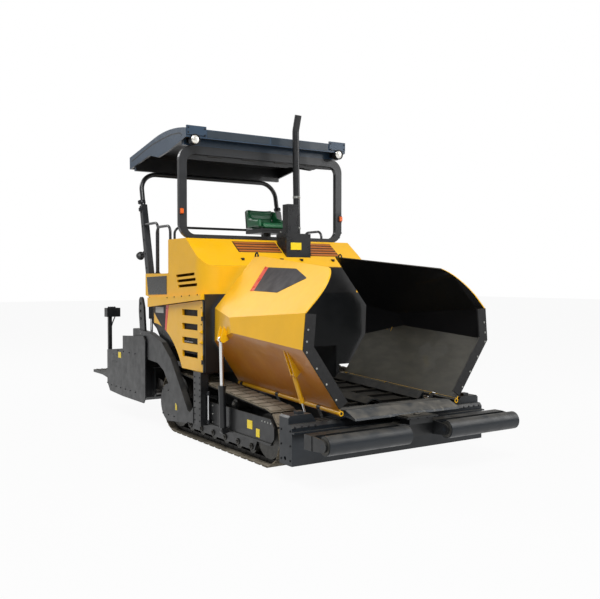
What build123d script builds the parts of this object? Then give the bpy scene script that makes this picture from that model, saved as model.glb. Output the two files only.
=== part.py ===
"""Asphalt paver on tracks, built as separate named pieces in one frame.

Millimetres. The hopper faces -Y, the screed +Y, +Z is up, and the origin lies on the ground
under the middle of the machine. "Right" is -X, as seen by a driver who looks at the hopper.
Pieces that come in pairs are drawn on the left (+X) side and mirrored for the right.
"""
from build123d import *
from math import asin, atan2, cos, degrees, radians, sin, sqrt, tan
import os

os.makedirs("parts", exist_ok=True)

# ---- driving dimensions -------------------------------------------------------------------
HALF_WIDTH = 1250        # over the bumper, the tow arms and the screed
BODY_X = 1200            # outer face of the side doors and the hood
FRAME_X = 700            # outer face of the chassis side plates
FRAME_T = 20
PLATE_T = 12             # pressed and folded sheet
SHAFT_GAP = 0.3          # radial gap of a pin in its bore, and of what nearly touches
RUN_GAP = 8              # gap between faces that pass each other

ROLLER_Y = -3050         # push-roller axis
ROLLER_Z = 445
ROLLER_R = 90
BUMPER_FRONT_Y = -2570
BUMPER_REAR_Y = -2350
BUMPER_LOW_Z = 170
BUMPER_TOP_Z = 560

HOPPER_SLOPE = 2.3       # degrees: the hopper's bottom and the conveyors rise rearward
WING_PIVOT_X = 757
WING_PIVOT_Z = 640       # at the front of the wing
WING_FRONT_Y = -2680
WALL_Y = -650            # front face of the wall behind the hopper
WALL_T = 25
WING_OPEN = 46           # degrees that a wing turns outward

REAR_RAM_Y = -1080       # ram and stay of each wing: plane, foot on the frame, pin on the wing
REAR_RAM_FOOT = (1192, 262)
REAR_RAM_PIN = (1215, 1270)
STAY_Y = -2310
STAY_FOOT = (840, 360)
STAY_PIN = (1060, 1000)
RAM_EYE_W = 40
STAY_EYE_W = 24
EAR_T = 12
FOOT_PIN_R = 12

IDLER_Y = -1815
IDLER_R = 310            # over the shoes
SPROCKET_Y = 380
SPROCKET_R = 400
TRACK_INNER_X = 800
TRACK_WIDTH = 310
SHOE_T = 30
CHAIN_T = 45
SHOE_COUNT = 42

CONVEYOR_FRONT_Y = -2230
CONVEYOR_REAR_Y = 790
CONVEYOR_FRONT_Z = 545
CONVEYOR_R = 62          # over the chain
TUNNEL_TOP_Z = 1150

SHELF_Z = 860            # underside of the side bodies, above the tracks
BAND_LOW_Z = 1570
BAND_TOP_Z = 1690
DECK_Z = 2000            # the operator stands here
HOOD_TOP_Z = 2420
HOOD_REAR_Y = 355
BODY_REAR_Y = 930
DECK_REAR_Y = 1290

CANOPY_FRONT_Y = -120
CANOPY_REAR_Y = 1695
CANOPY_HALF = 1176
CANOPY_TOP_Z = 3780
HOOP_Y = 30
HOOP_TOP_Z = 3550

TOW_Y = -330             # tow point, where the screed's arms turn
TOW_Z = 300
ARM_X = 1150
ARM_T = 75
SCREED_FRONT_Y = 1200
SCREED_LOW_Z = 300
WALKWAY_REAR_Y = 3140
AUGER_Y = 985
AUGER_Z = 440
AUGER_R = 190

LIFT_X = 1085            # lift rams, between the arms and the deck
LIFT_Y = 1165
LIFT_TOP_Z = 1880
LIFT_LOW_Z = 1000
LIFT_ROD_R = 18

TRACK_OUTER_X = TRACK_INNER_X + TRACK_WIDTH
LOOP_T = SHOE_T + CHAIN_T


def across(y):
    """Upright plane across the machine at y, facing forward: local x is X, local y is Z."""
    return Plane.XZ.offset(-y)


def along(x):
    """Upright plane along the machine at x, facing left: local x is Y, local y is Z."""
    return Plane.YZ.offset(x)


def level(z):
    return Plane.XY.offset(z)


def save(name, piece):
    piece.part.label = name
    export_step(piece.part, f"parts/{name}.step")


def save_both(name, piece):
    """Write a left-hand piece and its mirror image as one node."""
    with BuildPart() as both:
        add(piece.part)
        mirror(about=Plane.YZ)
    save(name, both)


def save_pair(name, piece):
    """Write a left-hand piece and its mirror image."""
    save(f"{name}_left", piece)
    with BuildPart() as twin:
        mirror(piece.part, about=Plane.YZ)
    save(f"{name}_right", twin)


# ---- tracks: one closed loop each, with the shoes in its outline ----------------------------
WHEELS = ((IDLER_Y, IDLER_R), (SPROCKET_Y, SPROCKET_R))   # y of the axle, radius over the shoes


def belt_face(inset):
    """Face inside a belt that runs round both wheels, inset from the shoes' outer face."""
    with BuildSketch() as belt:
        for y, r in WHEELS:
            with Locations((y, r)):
                Circle(r - inset)
        make_hull()
    return belt.sketch


with BuildPart() as track:
    belt_line = belt_face(SHOE_T).face().outer_wire()
    shoe_pitch = belt_line.length / SHOE_COUNT
    with BuildSketch(along(TRACK_INNER_X)):
        add(belt_face(SHOE_T))
        for i in range(SHOE_COUNT):
            point = belt_line.position_at((i + 0.5) / SHOE_COUNT)
            heading = belt_line.tangent_at((i + 0.5) / SHOE_COUNT)
            with Locations(Location((point.X, point.Y), degrees(atan2(heading.Y, heading.X)))):
                Rectangle(shoe_pitch - 22, 2 * SHOE_T)
        add(belt_face(LOOP_T), mode=Mode.SUBTRACT)
    extrude(amount=TRACK_WIDTH)
save_pair("track", track)

# ---- track frame: twin side plates between the rollers, outer guard, cross tubes ------------
LOWER_ROLLERS = 6
ROLLER_SPAN = (-1480, 10)     # y of the first and the last lower roller
LOWER_ROLLER_R = 75
AXLE_R = 22
CHEEK_T = 14
CHEEK_X = (TRACK_INNER_X + 48, TRACK_OUTER_X - 48 - CHEEK_T)
GUARD_X = TRACK_OUTER_X + 8
GUARD_T = 16
CARRIERS_Y = (-1100, -350)
CARRIER_R = 60
CROSS_TUBES_Y = (-1300, -150)

axle_spots = [(y, r) for y, r in WHEELS]
roller_step = (ROLLER_SPAN[1] - ROLLER_SPAN[0]) / (LOWER_ROLLERS - 1)
roller_spots = [(ROLLER_SPAN[0] + i * roller_step, LOOP_T + LOWER_ROLLER_R + SHAFT_GAP)
                for i in range(LOWER_ROLLERS)]
belt_angle = 2 * asin((SPROCKET_R - IDLER_R) / sqrt((SPROCKET_Y - IDLER_Y) ** 2 + (SPROCKET_R - IDLER_R) ** 2))


def top_run_z(y, inset):
    """Height of the upper run at y, inset from the shoes' outer face."""
    return IDLER_R + (IDLER_R - inset + sin(belt_angle) * (y - IDLER_Y)) / cos(belt_angle)


carrier_spots = [(y, top_run_z(y, LOOP_T + SHAFT_GAP + CARRIER_R)) for y in CARRIERS_Y]

with BuildPart() as track_frame:
    for x in CHEEK_X:
        with BuildSketch(along(x)):
            for y, r in WHEELS:
                with Locations((y, r)):
                    Circle(95)
            make_hull()
            with BuildLine():
                Polyline((ROLLER_SPAN[0] - 60, 115), (ROLLER_SPAN[1] + 60, 115),
                         (ROLLER_SPAN[1] + 140, 330), (ROLLER_SPAN[0] - 160, 300), close=True)
            make_face()
            for y, z in carrier_spots:
                with Locations((y, z - 90)):
                    Rectangle(90, 240)
            for y, z in axle_spots + roller_spots + carrier_spots:
                with Locations((y, z)):
                    Circle(AXLE_R + SHAFT_GAP, mode=Mode.SUBTRACT)
        extrude(amount=CHEEK_T)
    with Locations(((CHEEK_X[0] + CHEEK_X[1] + CHEEK_T) / 2, (IDLER_Y + SPROCKET_Y) / 2, 372)):
        Box(CHEEK_X[1] - CHEEK_X[0], SPROCKET_Y - IDLER_Y - 700, 16)
    for y in CROSS_TUBES_Y:
        with Locations(((FRAME_X + CHEEK_X[1]) / 2, y, 300)):
            Box(CHEEK_X[1] - FRAME_X, 150, 120)
    for y in (IDLER_Y + 130, -900, -130):
        with Locations(((CHEEK_X[1] + GUARD_X) / 2 + CHEEK_T / 2, y, 330)):
            Box(GUARD_X - CHEEK_X[1] - CHEEK_T, 120, 90)
    with BuildSketch(along(GUARD_X)):
        with BuildLine():
            Polyline((-2060, 330), (-2000, 270), (-640, 265), (-640, 520), (-1990, 520), (-2060, 440), close=True)
        make_face()
    extrude(amount=GUARD_T)
    with Locations((GUARD_X + GUARD_T / 2 + 8, -1330, 268)):
        Box(GUARD_T + 16, 1380, 16)
    # foot bracket of the wing ram
    for y in (REAR_RAM_Y - RAM_EYE_W / 2 - 3 - EAR_T, REAR_RAM_Y + RAM_EYE_W / 2 + 3):
        with BuildSketch(across(y + EAR_T)):
            with Locations(REAR_RAM_FOOT):
                Circle(30)
            with BuildLine():
                Polyline((GUARD_X + 2, REAR_RAM_FOOT[1] - 10), (REAR_RAM_FOOT[0], REAR_RAM_FOOT[1] - 28),
                         (REAR_RAM_FOOT[0], REAR_RAM_FOOT[1] + 28), (GUARD_X + 2, REAR_RAM_FOOT[1] + 40), close=True)
            make_face()
        extrude(amount=EAR_T)
    with BuildSketch(across(REAR_RAM_Y + RAM_EYE_W / 2 + 3 + EAR_T)):
        with Locations(REAR_RAM_FOOT):
            Circle(FOOT_PIN_R)
    extrude(amount=RAM_EYE_W + 6 + 2 * EAR_T)
save_pair("track_frame", track_frame)

# ---- wheels inside the loop: idler, sprocket, rollers. Each turns on its own axle ------------
with BuildPart() as track_wheels:
    middle_x = (CHEEK_X[0] + CHEEK_X[1] + CHEEK_T) / 2
    tread = CHEEK_X[1] - CHEEK_X[0] - CHEEK_T - 6
    for spots, inset in ((axle_spots, None), (roller_spots, LOWER_ROLLER_R), (carrier_spots, CARRIER_R)):
        for y, z in spots:
            radius = inset if inset else z - LOOP_T - SHAFT_GAP
            with Locations(Location((middle_x, y, z), (0, 90, 0))):
                Cylinder(radius, tread)
                Cylinder(AXLE_R, tread + 2 * CHEEK_T + 30)
save_both("track_wheels", track_wheels)

slope = tan(radians(HOPPER_SLOPE))


def hinge_z(y):
    """Height of the wing's hinge line at y."""
    return WING_PIVOT_Z + (y - WING_FRONT_Y) * slope


def conveyor_z(y):
    """Height of the conveyors' centre line at y."""
    return CONVEYOR_FRONT_Z + (y - CONVEYOR_FRONT_Y) * slope


FLOOR_T = 12
CHAIN_LINK_T = 24
floor_rise = CONVEYOR_R - CHAIN_LINK_T - 2      # the slats slide 2 mm above the floor plate
CHASSIS_REAR_Y = 700
SIDE_PLATE_DROP = 40      # top of the chassis side plates below the wings' hinge line

# ---- conveyors: two chains round a floor plate, with slats between them ----------------------
CHAIN_X = (70, 640)      # inner faces of the inner and the outer chain of one conveyor
CHAIN_W = 28
SLAT_PITCH = 300
conveyor_length = sqrt((CONVEYOR_REAR_Y - CONVEYOR_FRONT_Y) ** 2 * (1 + slope ** 2))
conveyor_plane = Plane(origin=(0, CONVEYOR_FRONT_Y, CONVEYOR_FRONT_Z),
                       x_dir=(0, cos(radians(HOPPER_SLOPE)), sin(radians(HOPPER_SLOPE))), z_dir=(1, 0, 0))

with BuildPart() as conveyor:
    for x in CHAIN_X:
        with BuildSketch(conveyor_plane.offset(x)):
            with Locations((conveyor_length / 2, 0)):
                SlotCenterToCenter(conveyor_length, 2 * CONVEYOR_R)
                SlotCenterToCenter(conveyor_length, 2 * (CONVEYOR_R - CHAIN_LINK_T), mode=Mode.SUBTRACT)
        extrude(amount=CHAIN_W)
    slats = int((conveyor_length - 120) // SLAT_PITCH) + 1
    first = (conveyor_length - (slats - 1) * SLAT_PITCH) / 2
    with BuildSketch(conveyor_plane.offset(CHAIN_X[0] + CHAIN_W)):
        for side in (-1, 1):
            with Locations((conveyor_length / 2, side * (CONVEYOR_R - CHAIN_LINK_T / 2))):
                with GridLocations(SLAT_PITCH, 1, slats, 1):
                    Rectangle(40, CHAIN_LINK_T)
    extrude(amount=CHAIN_X[1] - CHAIN_X[0] - CHAIN_W)
save_pair("conveyor", conveyor)

with BuildPart() as conveyor_shafts:
    for y in (CONVEYOR_FRONT_Y, CONVEYOR_REAR_Y):
        with Locations(Location((0, y, conveyor_z(y)), (0, 90, 0))):
            Cylinder(25, 2 * FRAME_X - 2 * FRAME_T if y < 0 else 2 * FRAME_X)
        for x in CHAIN_X:
            for side in (-1, 1):
                with Locations(Location((side * (x + CHAIN_W / 2), y, conveyor_z(y)), (0, 90, 0))):
                    Cylinder(CONVEYOR_R - CHAIN_LINK_T - SHAFT_GAP, CHAIN_W)
    for side in (-1, 1):
        with Locations((side * (FRAME_X - 10), (CHASSIS_REAR_Y + CONVEYOR_REAR_Y + 45) / 2, conveyor_z(CONVEYOR_REAR_Y))):
            Box(20, CONVEYOR_REAR_Y + 45 - CHASSIS_REAR_Y, 110)
save("conveyor_shafts", conveyor_shafts)

# covers: a ridge between the conveyors and a sloping guard over each outer chain
with BuildPart() as conveyor_covers:
    cover_length = (WALL_Y - 4 - CONVEYOR_FRONT_Y) / cos(radians(HOPPER_SLOPE))
    post_drop = (CONVEYOR_R - floor_rise) * cos(radians(HOPPER_SLOPE))
    sill = (hinge_z(0) - SIDE_PLATE_DROP - conveyor_z(0) - CONVEYOR_R) * cos(radians(HOPPER_SLOPE))
    cross = Plane(origin=(0, CONVEYOR_FRONT_Y, CONVEYOR_FRONT_Z + CONVEYOR_R), x_dir=(1, 0, 0),
                  z_dir=(0, -cos(radians(HOPPER_SLOPE)), -sin(radians(HOPPER_SLOPE))))
    with BuildSketch(cross):
        with BuildLine():
            Polyline((-108, 6), (-108, 16), (-30, 62), (30, 62), (108, 16), (108, 6), close=True)
        make_face()
        with BuildLine():
            Polyline((-92, 6), (-24, 46), (24, 46), (92, 6), close=True)
        make_face(mode=Mode.SUBTRACT)
        for side in (-1, 1):
            with BuildLine():
                Polyline((side * 622, 6), (side * 640, 6), (side * (FRAME_X - FRAME_T), 44),
                         (side * (FRAME_X - FRAME_T), sill), (side * FRAME_X, sill), (side * FRAME_X, 76),
                         (side * (FRAME_X - 16), 76), close=True)
            make_face()
    extrude(amount=-cover_length)
    for distance in (120, cover_length - 40):
        with BuildSketch(cross.offset(-distance)):
            with Locations((0, -post_drop)):
                Rectangle(40, 46 + post_drop, align=(Align.CENTER, Align.MIN))
        extrude(amount=-20)
save("conveyor_covers", conveyor_covers)

# ---- bumper: cross beam with raised caps, and stop blocks on which an open wing rests --------
CAP_X = (930, 1250)
CAP_TOP_Z = 640
STOP_X = 1095
STOP_SIZE = 70
TONGUE_HALF = 110
PIVOT_Y = -2690
PIVOT_R = 25
BEAM_LOW_Z = 375
BEAM_TOP_Z = 515
open_plate_angle = radians(54.46 - WING_OPEN)   # slope of the wing's floor plate when it is open


def open_plate_z(x, y):
    """Height of the open wing's underside."""
    return hinge_z(y) + (x - WING_PIVOT_X) * tan(open_plate_angle) - 4


with BuildPart() as bumper_beam:
    with BuildSketch(along(-HALF_WIDTH)):
        with BuildLine():
            Polyline((BUMPER_FRONT_Y, BUMPER_LOW_Z), (BUMPER_REAR_Y, BUMPER_LOW_Z), (BUMPER_REAR_Y, BUMPER_TOP_Z),
                     (BUMPER_FRONT_Y + 25, BUMPER_TOP_Z), (BUMPER_FRONT_Y, BUMPER_TOP_Z - 30), close=True)
        make_face()
    extrude(amount=2 * HALF_WIDTH)
    with Locations((0, BUMPER_FRONT_Y - 20, 487)):
        Box(2 * HALF_WIDTH, 40, 14)
    for side in (-1, 1):
        with BuildSketch(across(BUMPER_REAR_Y)):
            with BuildLine():
                Polyline((side * CAP_X[0], BUMPER_TOP_Z), (side * (CAP_X[0] + 60), CAP_TOP_Z),
                         (side * (CAP_X[1] - 20), CAP_TOP_Z), (side * CAP_X[1], CAP_TOP_Z - 20),
                         (side * CAP_X[1], BUMPER_TOP_Z), close=True)
            make_face()
        extrude(amount=BUMPER_REAR_Y - BUMPER_FRONT_Y - 60)
        stop_top = open_plate_z(STOP_X - STOP_SIZE / 2, BUMPER_REAR_Y - 100 - STOP_SIZE / 2) - RUN_GAP - 12
        with Locations((side * STOP_X, BUMPER_REAR_Y - 100, (CAP_TOP_Z + stop_top) / 2)):
            Box(STOP_SIZE, STOP_SIZE, stop_top - CAP_TOP_Z)
        with Locations(Location((side * (HALF_WIDTH - 15), BUMPER_FRONT_Y + 120, 230), (0, 90, 0))):
            Cylinder(20, 30, mode=Mode.SUBTRACT)
    for z in (BEAM_LOW_Z - 25, BEAM_TOP_Z + 25):
        with BuildSketch(level(z - 10)):
            with Locations((0, (PIVOT_Y + BUMPER_FRONT_Y + 40) / 2)):
                Rectangle(2 * TONGUE_HALF, BUMPER_FRONT_Y + 40 - PIVOT_Y)
            with Locations((0, PIVOT_Y)):
                Circle(TONGUE_HALF * 0.7)
        extrude(amount=20)
    with Locations((0, PIVOT_Y, (BEAM_LOW_Z + BEAM_TOP_Z) / 2)):
        Cylinder(PIVOT_R, BEAM_TOP_Z - BEAM_LOW_Z + 120)
    # foot bracket of each wing stay, on the rear face
    for side in (-1, 1):
        with Locations((side * (STAY_FOOT[0] - 34), BUMPER_REAR_Y + 34, STAY_FOOT[1])):
            Box(12, 68, 60)
        for y in (STAY_Y - STAY_EYE_W / 2 - 3 - EAR_T, STAY_Y + STAY_EYE_W / 2 + 3):
            with BuildSketch(across(y + EAR_T)):
                with Locations((side * STAY_FOOT[0], STAY_FOOT[1])):
                    Circle(20)
                with Locations((side * (STAY_FOOT[0] - 18), STAY_FOOT[1])):
                    Rectangle(30, 36)
            extrude(amount=EAR_T)
        with BuildSketch(across(STAY_Y + STAY_EYE_W / 2 + 3 + EAR_T)):
            with Locations((side * STAY_FOOT[0], STAY_FOOT[1])):
                Circle(FOOT_PIN_R)
        extrude(amount=STAY_EYE_W + 6 + 2 * EAR_T)
save("bumper_beam", bumper_beam)

# ---- push-roller beam: swings on the pin, carries a free roller on each side -----------------
ROLLER_X = (254, 1212)
ROLLER_SHAFT_R = 22
ROLLER_CHEEK_T = 18

with BuildPart() as roller_beam:
    with BuildSketch(level(BEAM_LOW_Z)):
        with Locations((0, PIVOT_Y - 140)):
            Rectangle(2 * (ROLLER_X[1] + 34), 120)
        with BuildLine():
            Polyline((-240, PIVOT_Y - 100), (-90, PIVOT_Y + 20), (90, PIVOT_Y + 20), (240, PIVOT_Y - 100), close=True)
        make_face()
        with Locations((0, PIVOT_Y)):
            Circle(72)
            Circle(PIVOT_R + SHAFT_GAP, mode=Mode.SUBTRACT)
    extrude(amount=BEAM_TOP_Z - BEAM_LOW_Z)
    for x in (-ROLLER_X[1] - 10 - ROLLER_CHEEK_T, -ROLLER_X[0] + 10, ROLLER_X[0] - 10 - ROLLER_CHEEK_T, ROLLER_X[1] + 10):
        with BuildSketch(along(x)):
            with BuildLine():
                Polyline((PIVOT_Y - 190, BEAM_LOW_Z), (PIVOT_Y - 190, BEAM_TOP_Z), (ROLLER_Y, ROLLER_Z + 55),
                         (ROLLER_Y, ROLLER_Z - 55), close=True)
            make_face()
            with Locations((ROLLER_Y, ROLLER_Z)):
                Circle(55)
                Circle(ROLLER_SHAFT_R + SHAFT_GAP, mode=Mode.SUBTRACT)
        extrude(amount=ROLLER_CHEEK_T)
    # centre bracket between the rollers, with its cover plate
    with Locations((0, PIVOT_Y - 210, BEAM_TOP_Z + 30)):
        Box(300, 140, 60)
    with Locations((0, PIVOT_Y - 215, BEAM_TOP_Z + 67)):
        Box(400, 180, 14)
save("roller_beam", roller_beam)

with BuildPart() as push_roller:
    with Locations(Location(((ROLLER_X[0] + ROLLER_X[1]) / 2, ROLLER_Y, ROLLER_Z), (0, 90, 0))):
        Cylinder(ROLLER_R, ROLLER_X[1] - ROLLER_X[0])
        Cylinder(ROLLER_SHAFT_R, ROLLER_X[1] - ROLLER_X[0] + 2 * ROLLER_CHEEK_T + 20)
save_pair("push_roller", push_roller)

# ---- apron between the wings: closes the hopper's front lip above the bumper -----------------
with BuildPart() as hopper_apron:
    with BuildSketch(along(-FRAME_X + FRAME_T)):
        with BuildLine():
            Polyline((-2800, 578), (-2790, 600), (-2640, 660), (BUMPER_REAR_Y, 632), (CONVEYOR_FRONT_Y - 66, 618),
                     (CONVEYOR_FRONT_Y - 66, 606), (BUMPER_REAR_Y, 606), (BUMPER_REAR_Y, BUMPER_TOP_Z),
                     (BUMPER_FRONT_Y + 25, BUMPER_TOP_Z), (BUMPER_FRONT_Y - 60, 600), close=True)
        make_face()
    extrude(amount=2 * FRAME_X - 2 * FRAME_T)
save("hopper_apron", hopper_apron)

# ---- hopper wings: three folded plates, lofted between a front and a rear section ------------
# points of each section from the hinge outward and up, in the plane across the hinge line
WING_FRONT_SECTION = ((0, 0), (450, 630), (418, 980), (18, 1380))
WING_REAR_SECTION = ((0, 0), (450, 672), (440, 760), (-177, 1490))
WING_LENGTH = (WALL_Y - 25 - WING_FRONT_Y) / cos(radians(HOPPER_SLOPE))
FACET = ((1215, -1350), (1085, WALL_Y))  # line of the upright plate that cuts the rear outer corner
WING_CORNER = ((0, 1730), (85, 1945), (300, 2062))   # rounded corner of the front edge, y from the front
BARREL_R = 26
HINGE_PIN_R = 15
LUG_SPOTS = (361, 1150, 1930)     # centres of the chassis lugs along the hinge line
LUG_W = 60
FLAP_WIDTH = 115

wing_plane = Plane(origin=(WING_PIVOT_X, WING_FRONT_Y, WING_PIVOT_Z), x_dir=(1, 0, 0),
                   z_dir=(0, -cos(radians(HOPPER_SLOPE)), -sin(radians(HOPPER_SLOPE))))


with BuildPart() as wing_block:
    for distance, points in ((0, WING_FRONT_SECTION), (WING_LENGTH, WING_REAR_SECTION)):
        with BuildSketch(wing_plane.offset(-distance)):
            with BuildLine():
                Polyline(*points, close=True)
            make_face()
    loft(ruled=True)

facet_run = Vector(FACET[1][0] - FACET[0][0], FACET[1][1] - FACET[0][1])
facet_plane = Plane(origin=(FACET[0][0], FACET[0][1], 0), x_dir=facet_run.normalized(), z_dir=(0, 0, 1))

with BuildPart() as facet_plate:
    with BuildSketch(facet_plane):
        with Locations((facet_run.length / 2, 0)):
            Rectangle(facet_run.length * 1.4, PLATE_T, align=(Align.CENTER, Align.MIN))
    extrude(amount=2400)
    add(wing_block.part, mode=Mode.INTERSECT)


def folded_section(plane, points):
    """Closed outline of folded plates PLATE_T thick, whose outer face runs through the points."""
    with BuildSketch(plane) as section:
        with BuildLine():
            Polyline(*points)
            offset(amount=PLATE_T, side=Side.LEFT)
        make_face()
    return section.sketch


with BuildPart() as wing:
    add(folded_section(wing_plane, WING_FRONT_SECTION))
    add(folded_section(wing_plane.offset(-WING_LENGTH), WING_REAR_SECTION))
    loft(ruled=True)
    # upright front edge with a rounded upper corner
    with BuildSketch(along(0)):
        with BuildLine():
            Polyline((WING_FRONT_Y - 200, 500), (WING_FRONT_Y, 500), (WING_FRONT_Y, WING_CORNER[0][1]))
            ThreePointArc(*((WING_FRONT_Y + y, z) for y, z in WING_CORNER))
            Polyline((WING_FRONT_Y + WING_CORNER[2][0], WING_CORNER[2][1]), (WING_FRONT_Y + 400, 2300),
                     (WING_FRONT_Y - 200, 2300), (WING_FRONT_Y - 200, 500))
        make_face()
    extrude(amount=1600, mode=Mode.SUBTRACT)
    # rear outer corner
    with BuildSketch(facet_plane):
        Rectangle(facet_run.length * 1.4, 600, align=(Align.MIN, Align.MAX))
    extrude(amount=2400, mode=Mode.SUBTRACT)
    add(facet_plate.part)
    # hinge barrel, open at the chassis lugs
    with BuildSketch(wing_plane):
        Circle(BARREL_R)
    extrude(amount=-WING_LENGTH)
    for spot in LUG_SPOTS:
        with BuildSketch(wing_plane.offset(-spot + LUG_W / 2 + 3)):
            Circle(BARREL_R + RUN_GAP)
        extrude(amount=-LUG_W - 6, mode=Mode.SUBTRACT)
    with BuildSketch(wing_plane):
        Circle(HINGE_PIN_R + SHAFT_GAP)
    extrude(amount=-WING_LENGTH, mode=Mode.SUBTRACT)
    # brackets: a pair of ears for the ram at the bend and one for the stay near the front
    # the wing's hinge leans with the side plate, so the front ear leaves room for the eye to shift along its pin
    for y, pin, eye_r, gap, shift, root in (
            (REAR_RAM_Y, REAR_RAM_PIN, 34, RAM_EYE_W / 2 + 3, 22, ((1130, 1275), (1200, 1372), (1207, 1420))),
            (STAY_Y, STAY_PIN, 24, STAY_EYE_W / 2 + 3, 17, ((1012, 1021), (1150, 1217), (1172, 1248)))):
        for edge in (y - gap - shift, y + gap + EAR_T):
            with BuildSketch(across(edge)) as ear:
                with Locations(pin):
                    Circle(eye_r)
                with BuildLine():
                    Polyline(pin, *root, close=True)
                make_face()
                make_hull()
            extrude(amount=EAR_T)
save_pair("wing", wing)

# ---- chassis: two side plates, belly, cross members, conveyor floor and tunnel roof ----------
# the wings' hinge pin and its three lugs stand on the outer face of each side plate
with BuildPart() as side_plate:
    with BuildSketch(along(FRAME_X - FRAME_T)):
        with BuildLine():
            Polyline((BUMPER_REAR_Y, 200), (CHASSIS_REAR_Y - 180, 200), (CHASSIS_REAR_Y, 320),
                     (CHASSIS_REAR_Y, TUNNEL_TOP_Z), (WALL_Y + WALL_T, TUNNEL_TOP_Z),
                     (WALL_Y + WALL_T, hinge_z(WALL_Y + WALL_T) - SIDE_PLATE_DROP),
                     (BUMPER_REAR_Y, hinge_z(BUMPER_REAR_Y) - SIDE_PLATE_DROP), close=True)
        make_face()
    extrude(amount=FRAME_T)
    for spot in LUG_SPOTS:
        with BuildSketch(wing_plane.offset(-spot + LUG_W / 2)):
            Circle(BARREL_R)
            with BuildLine():
                Polyline((-BARREL_R * 0.9, BARREL_R * 0.4), (BARREL_R * 0.5, -BARREL_R * 0.86),
                         (FRAME_X - WING_PIVOT_X, -150), (FRAME_X - WING_PIVOT_X - 5, -60), close=True)
            make_face()
        extrude(amount=-LUG_W)
    with BuildSketch(wing_plane):
        Circle(HINGE_PIN_R)
    extrude(amount=-WING_LENGTH)

with BuildPart() as chassis:
    add(side_plate.part)
    mirror(about=Plane.YZ)
    with Locations((0, (BUMPER_REAR_Y + CHASSIS_REAR_Y - 180) / 2, 210)):
        Box(2 * FRAME_X - 2 * FRAME_T, CHASSIS_REAR_Y - 180 - BUMPER_REAR_Y, 20)
    for y in (BUMPER_REAR_Y + 10, -1300, -150, CHASSIS_REAR_Y - 190):
        with Locations((0, y, 310)):
            Box(2 * FRAME_X - 2 * FRAME_T, 20, 200)
    with Locations((0, (WALL_Y + WALL_T + CHASSIS_REAR_Y) / 2, TUNNEL_TOP_Z + 8)):
        Box(2 * FRAME_X, CHASSIS_REAR_Y - WALL_Y - WALL_T, 16)
    with BuildSketch(along(-FRAME_X + FRAME_T)):
        front = CONVEYOR_FRONT_Y + 90
        rear = CONVEYOR_REAR_Y - 90
        with BuildLine():
            Polyline((front, conveyor_z(front) + floor_rise - FLOOR_T), (rear, conveyor_z(rear) + floor_rise - FLOOR_T),
                     (rear, conveyor_z(rear) + floor_rise), (front, conveyor_z(front) + floor_rise), close=True)
        make_face()
    extrude(amount=2 * FRAME_X - 2 * FRAME_T)
save("chassis", chassis)

# bolted strip along the front edge of each wing
with BuildPart() as wing_flap:
    with BuildSketch(across(WING_FRONT_Y)):
        with BuildLine():
            Polyline((WING_PIVOT_X + 30, WING_PIVOT_Z + 45), (1203, 1268), (1172, 1612))
            offset(amount=FLAP_WIDTH, side=Side.LEFT)
        make_face()
    extrude(amount=14)
save_pair("wing_flap", wing_flap)

# ---- wing rams and stays: barrel on the frame, rod to the wing ------------------------------
GLAND_LENGTH = 45
BORE_START = FOOT_PIN_R + 15      # from the pin's axis
LINKS = (
    # name, y, eye and bore end, rod end, sleeve radius, rod radius, eye radius, eye width, sleeve length, travel
    ("wing_ram", REAR_RAM_Y, REAR_RAM_FOOT, REAR_RAM_PIN, 39, 21, 32, RAM_EYE_W, 500, 428),
    ("wing_stay", STAY_Y, STAY_PIN, STAY_FOOT, 24, 11, 20, STAY_EYE_W, 300, 187),
)
for name, y, foot, pin, barrel_r, rod_r, eye_r, eye_w, barrel_length, travel in LINKS:
    reach = Vector(pin[0] - foot[0], pin[1] - foot[1])
    ram_plane = Plane(origin=(foot[0], y, foot[1]), x_dir=(0, 1, 0), z_dir=(reach.X, 0, reach.Y))
    with BuildPart() as barrel:
        with BuildSketch(ram_plane.offset(eye_r + 6)):
            Circle(barrel_r)
        extrude(amount=barrel_length - eye_r - 6)
        with BuildSketch(ram_plane.offset(barrel_length - GLAND_LENGTH)):
            Circle(barrel_r + 4)
        extrude(amount=GLAND_LENGTH)
        with BuildSketch(ram_plane.offset(eye_r * 0.6)):
            Rectangle(eye_w, 1.5 * eye_r)
        extrude(amount=eye_r * 0.4 + 8)
        with BuildSketch(across(y + eye_w / 2)):
            with Locations(foot):
                Circle(eye_r)
        extrude(amount=eye_w)
        with BuildSketch(across(y + eye_w / 2 + 30)):
            with Locations(foot):
                Circle(FOOT_PIN_R + SHAFT_GAP)
        extrude(amount=eye_w + 60, mode=Mode.SUBTRACT)
        with BuildSketch(ram_plane.offset(BORE_START)):
            Circle(rod_r + SHAFT_GAP)
        extrude(amount=barrel_length, mode=Mode.SUBTRACT)
    save_pair(f"{name}_barrel", barrel)
    with BuildPart() as rod:
        with BuildSketch(ram_plane.offset(BORE_START + travel + 3)):
            Circle(rod_r)
        extrude(amount=reach.length - eye_r * 0.6 - BORE_START - travel - 3)
        with BuildSketch(across(y + eye_w / 2)):
            with Locations(pin):
                Circle(eye_r)
        extrude(amount=eye_w)
        with BuildSketch(across(y + eye_w / 2 + 30)):
            with Locations(pin):
                Circle(FOOT_PIN_R + SHAFT_GAP)
        extrude(amount=eye_w + 60, mode=Mode.SUBTRACT)
    save_pair(f"{name}_rod", rod)

# ---- wall behind the hopper, with a mouth for each conveyor, and the posts of the doors ------
MOUTH_X = (62, 655)
MOUTH_TOP_Z = 1090
DOOR_FRONT_Y = -595
DOOR_REAR_Y = 810
DOOR_T = 30
KNUCKLE_R = 9
KNUCKLES_Z = (1000, 1500)
KNUCKLE_H = 50
door_axis = (BODY_X + KNUCKLE_R, DOOR_FRONT_Y - 5)


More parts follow.
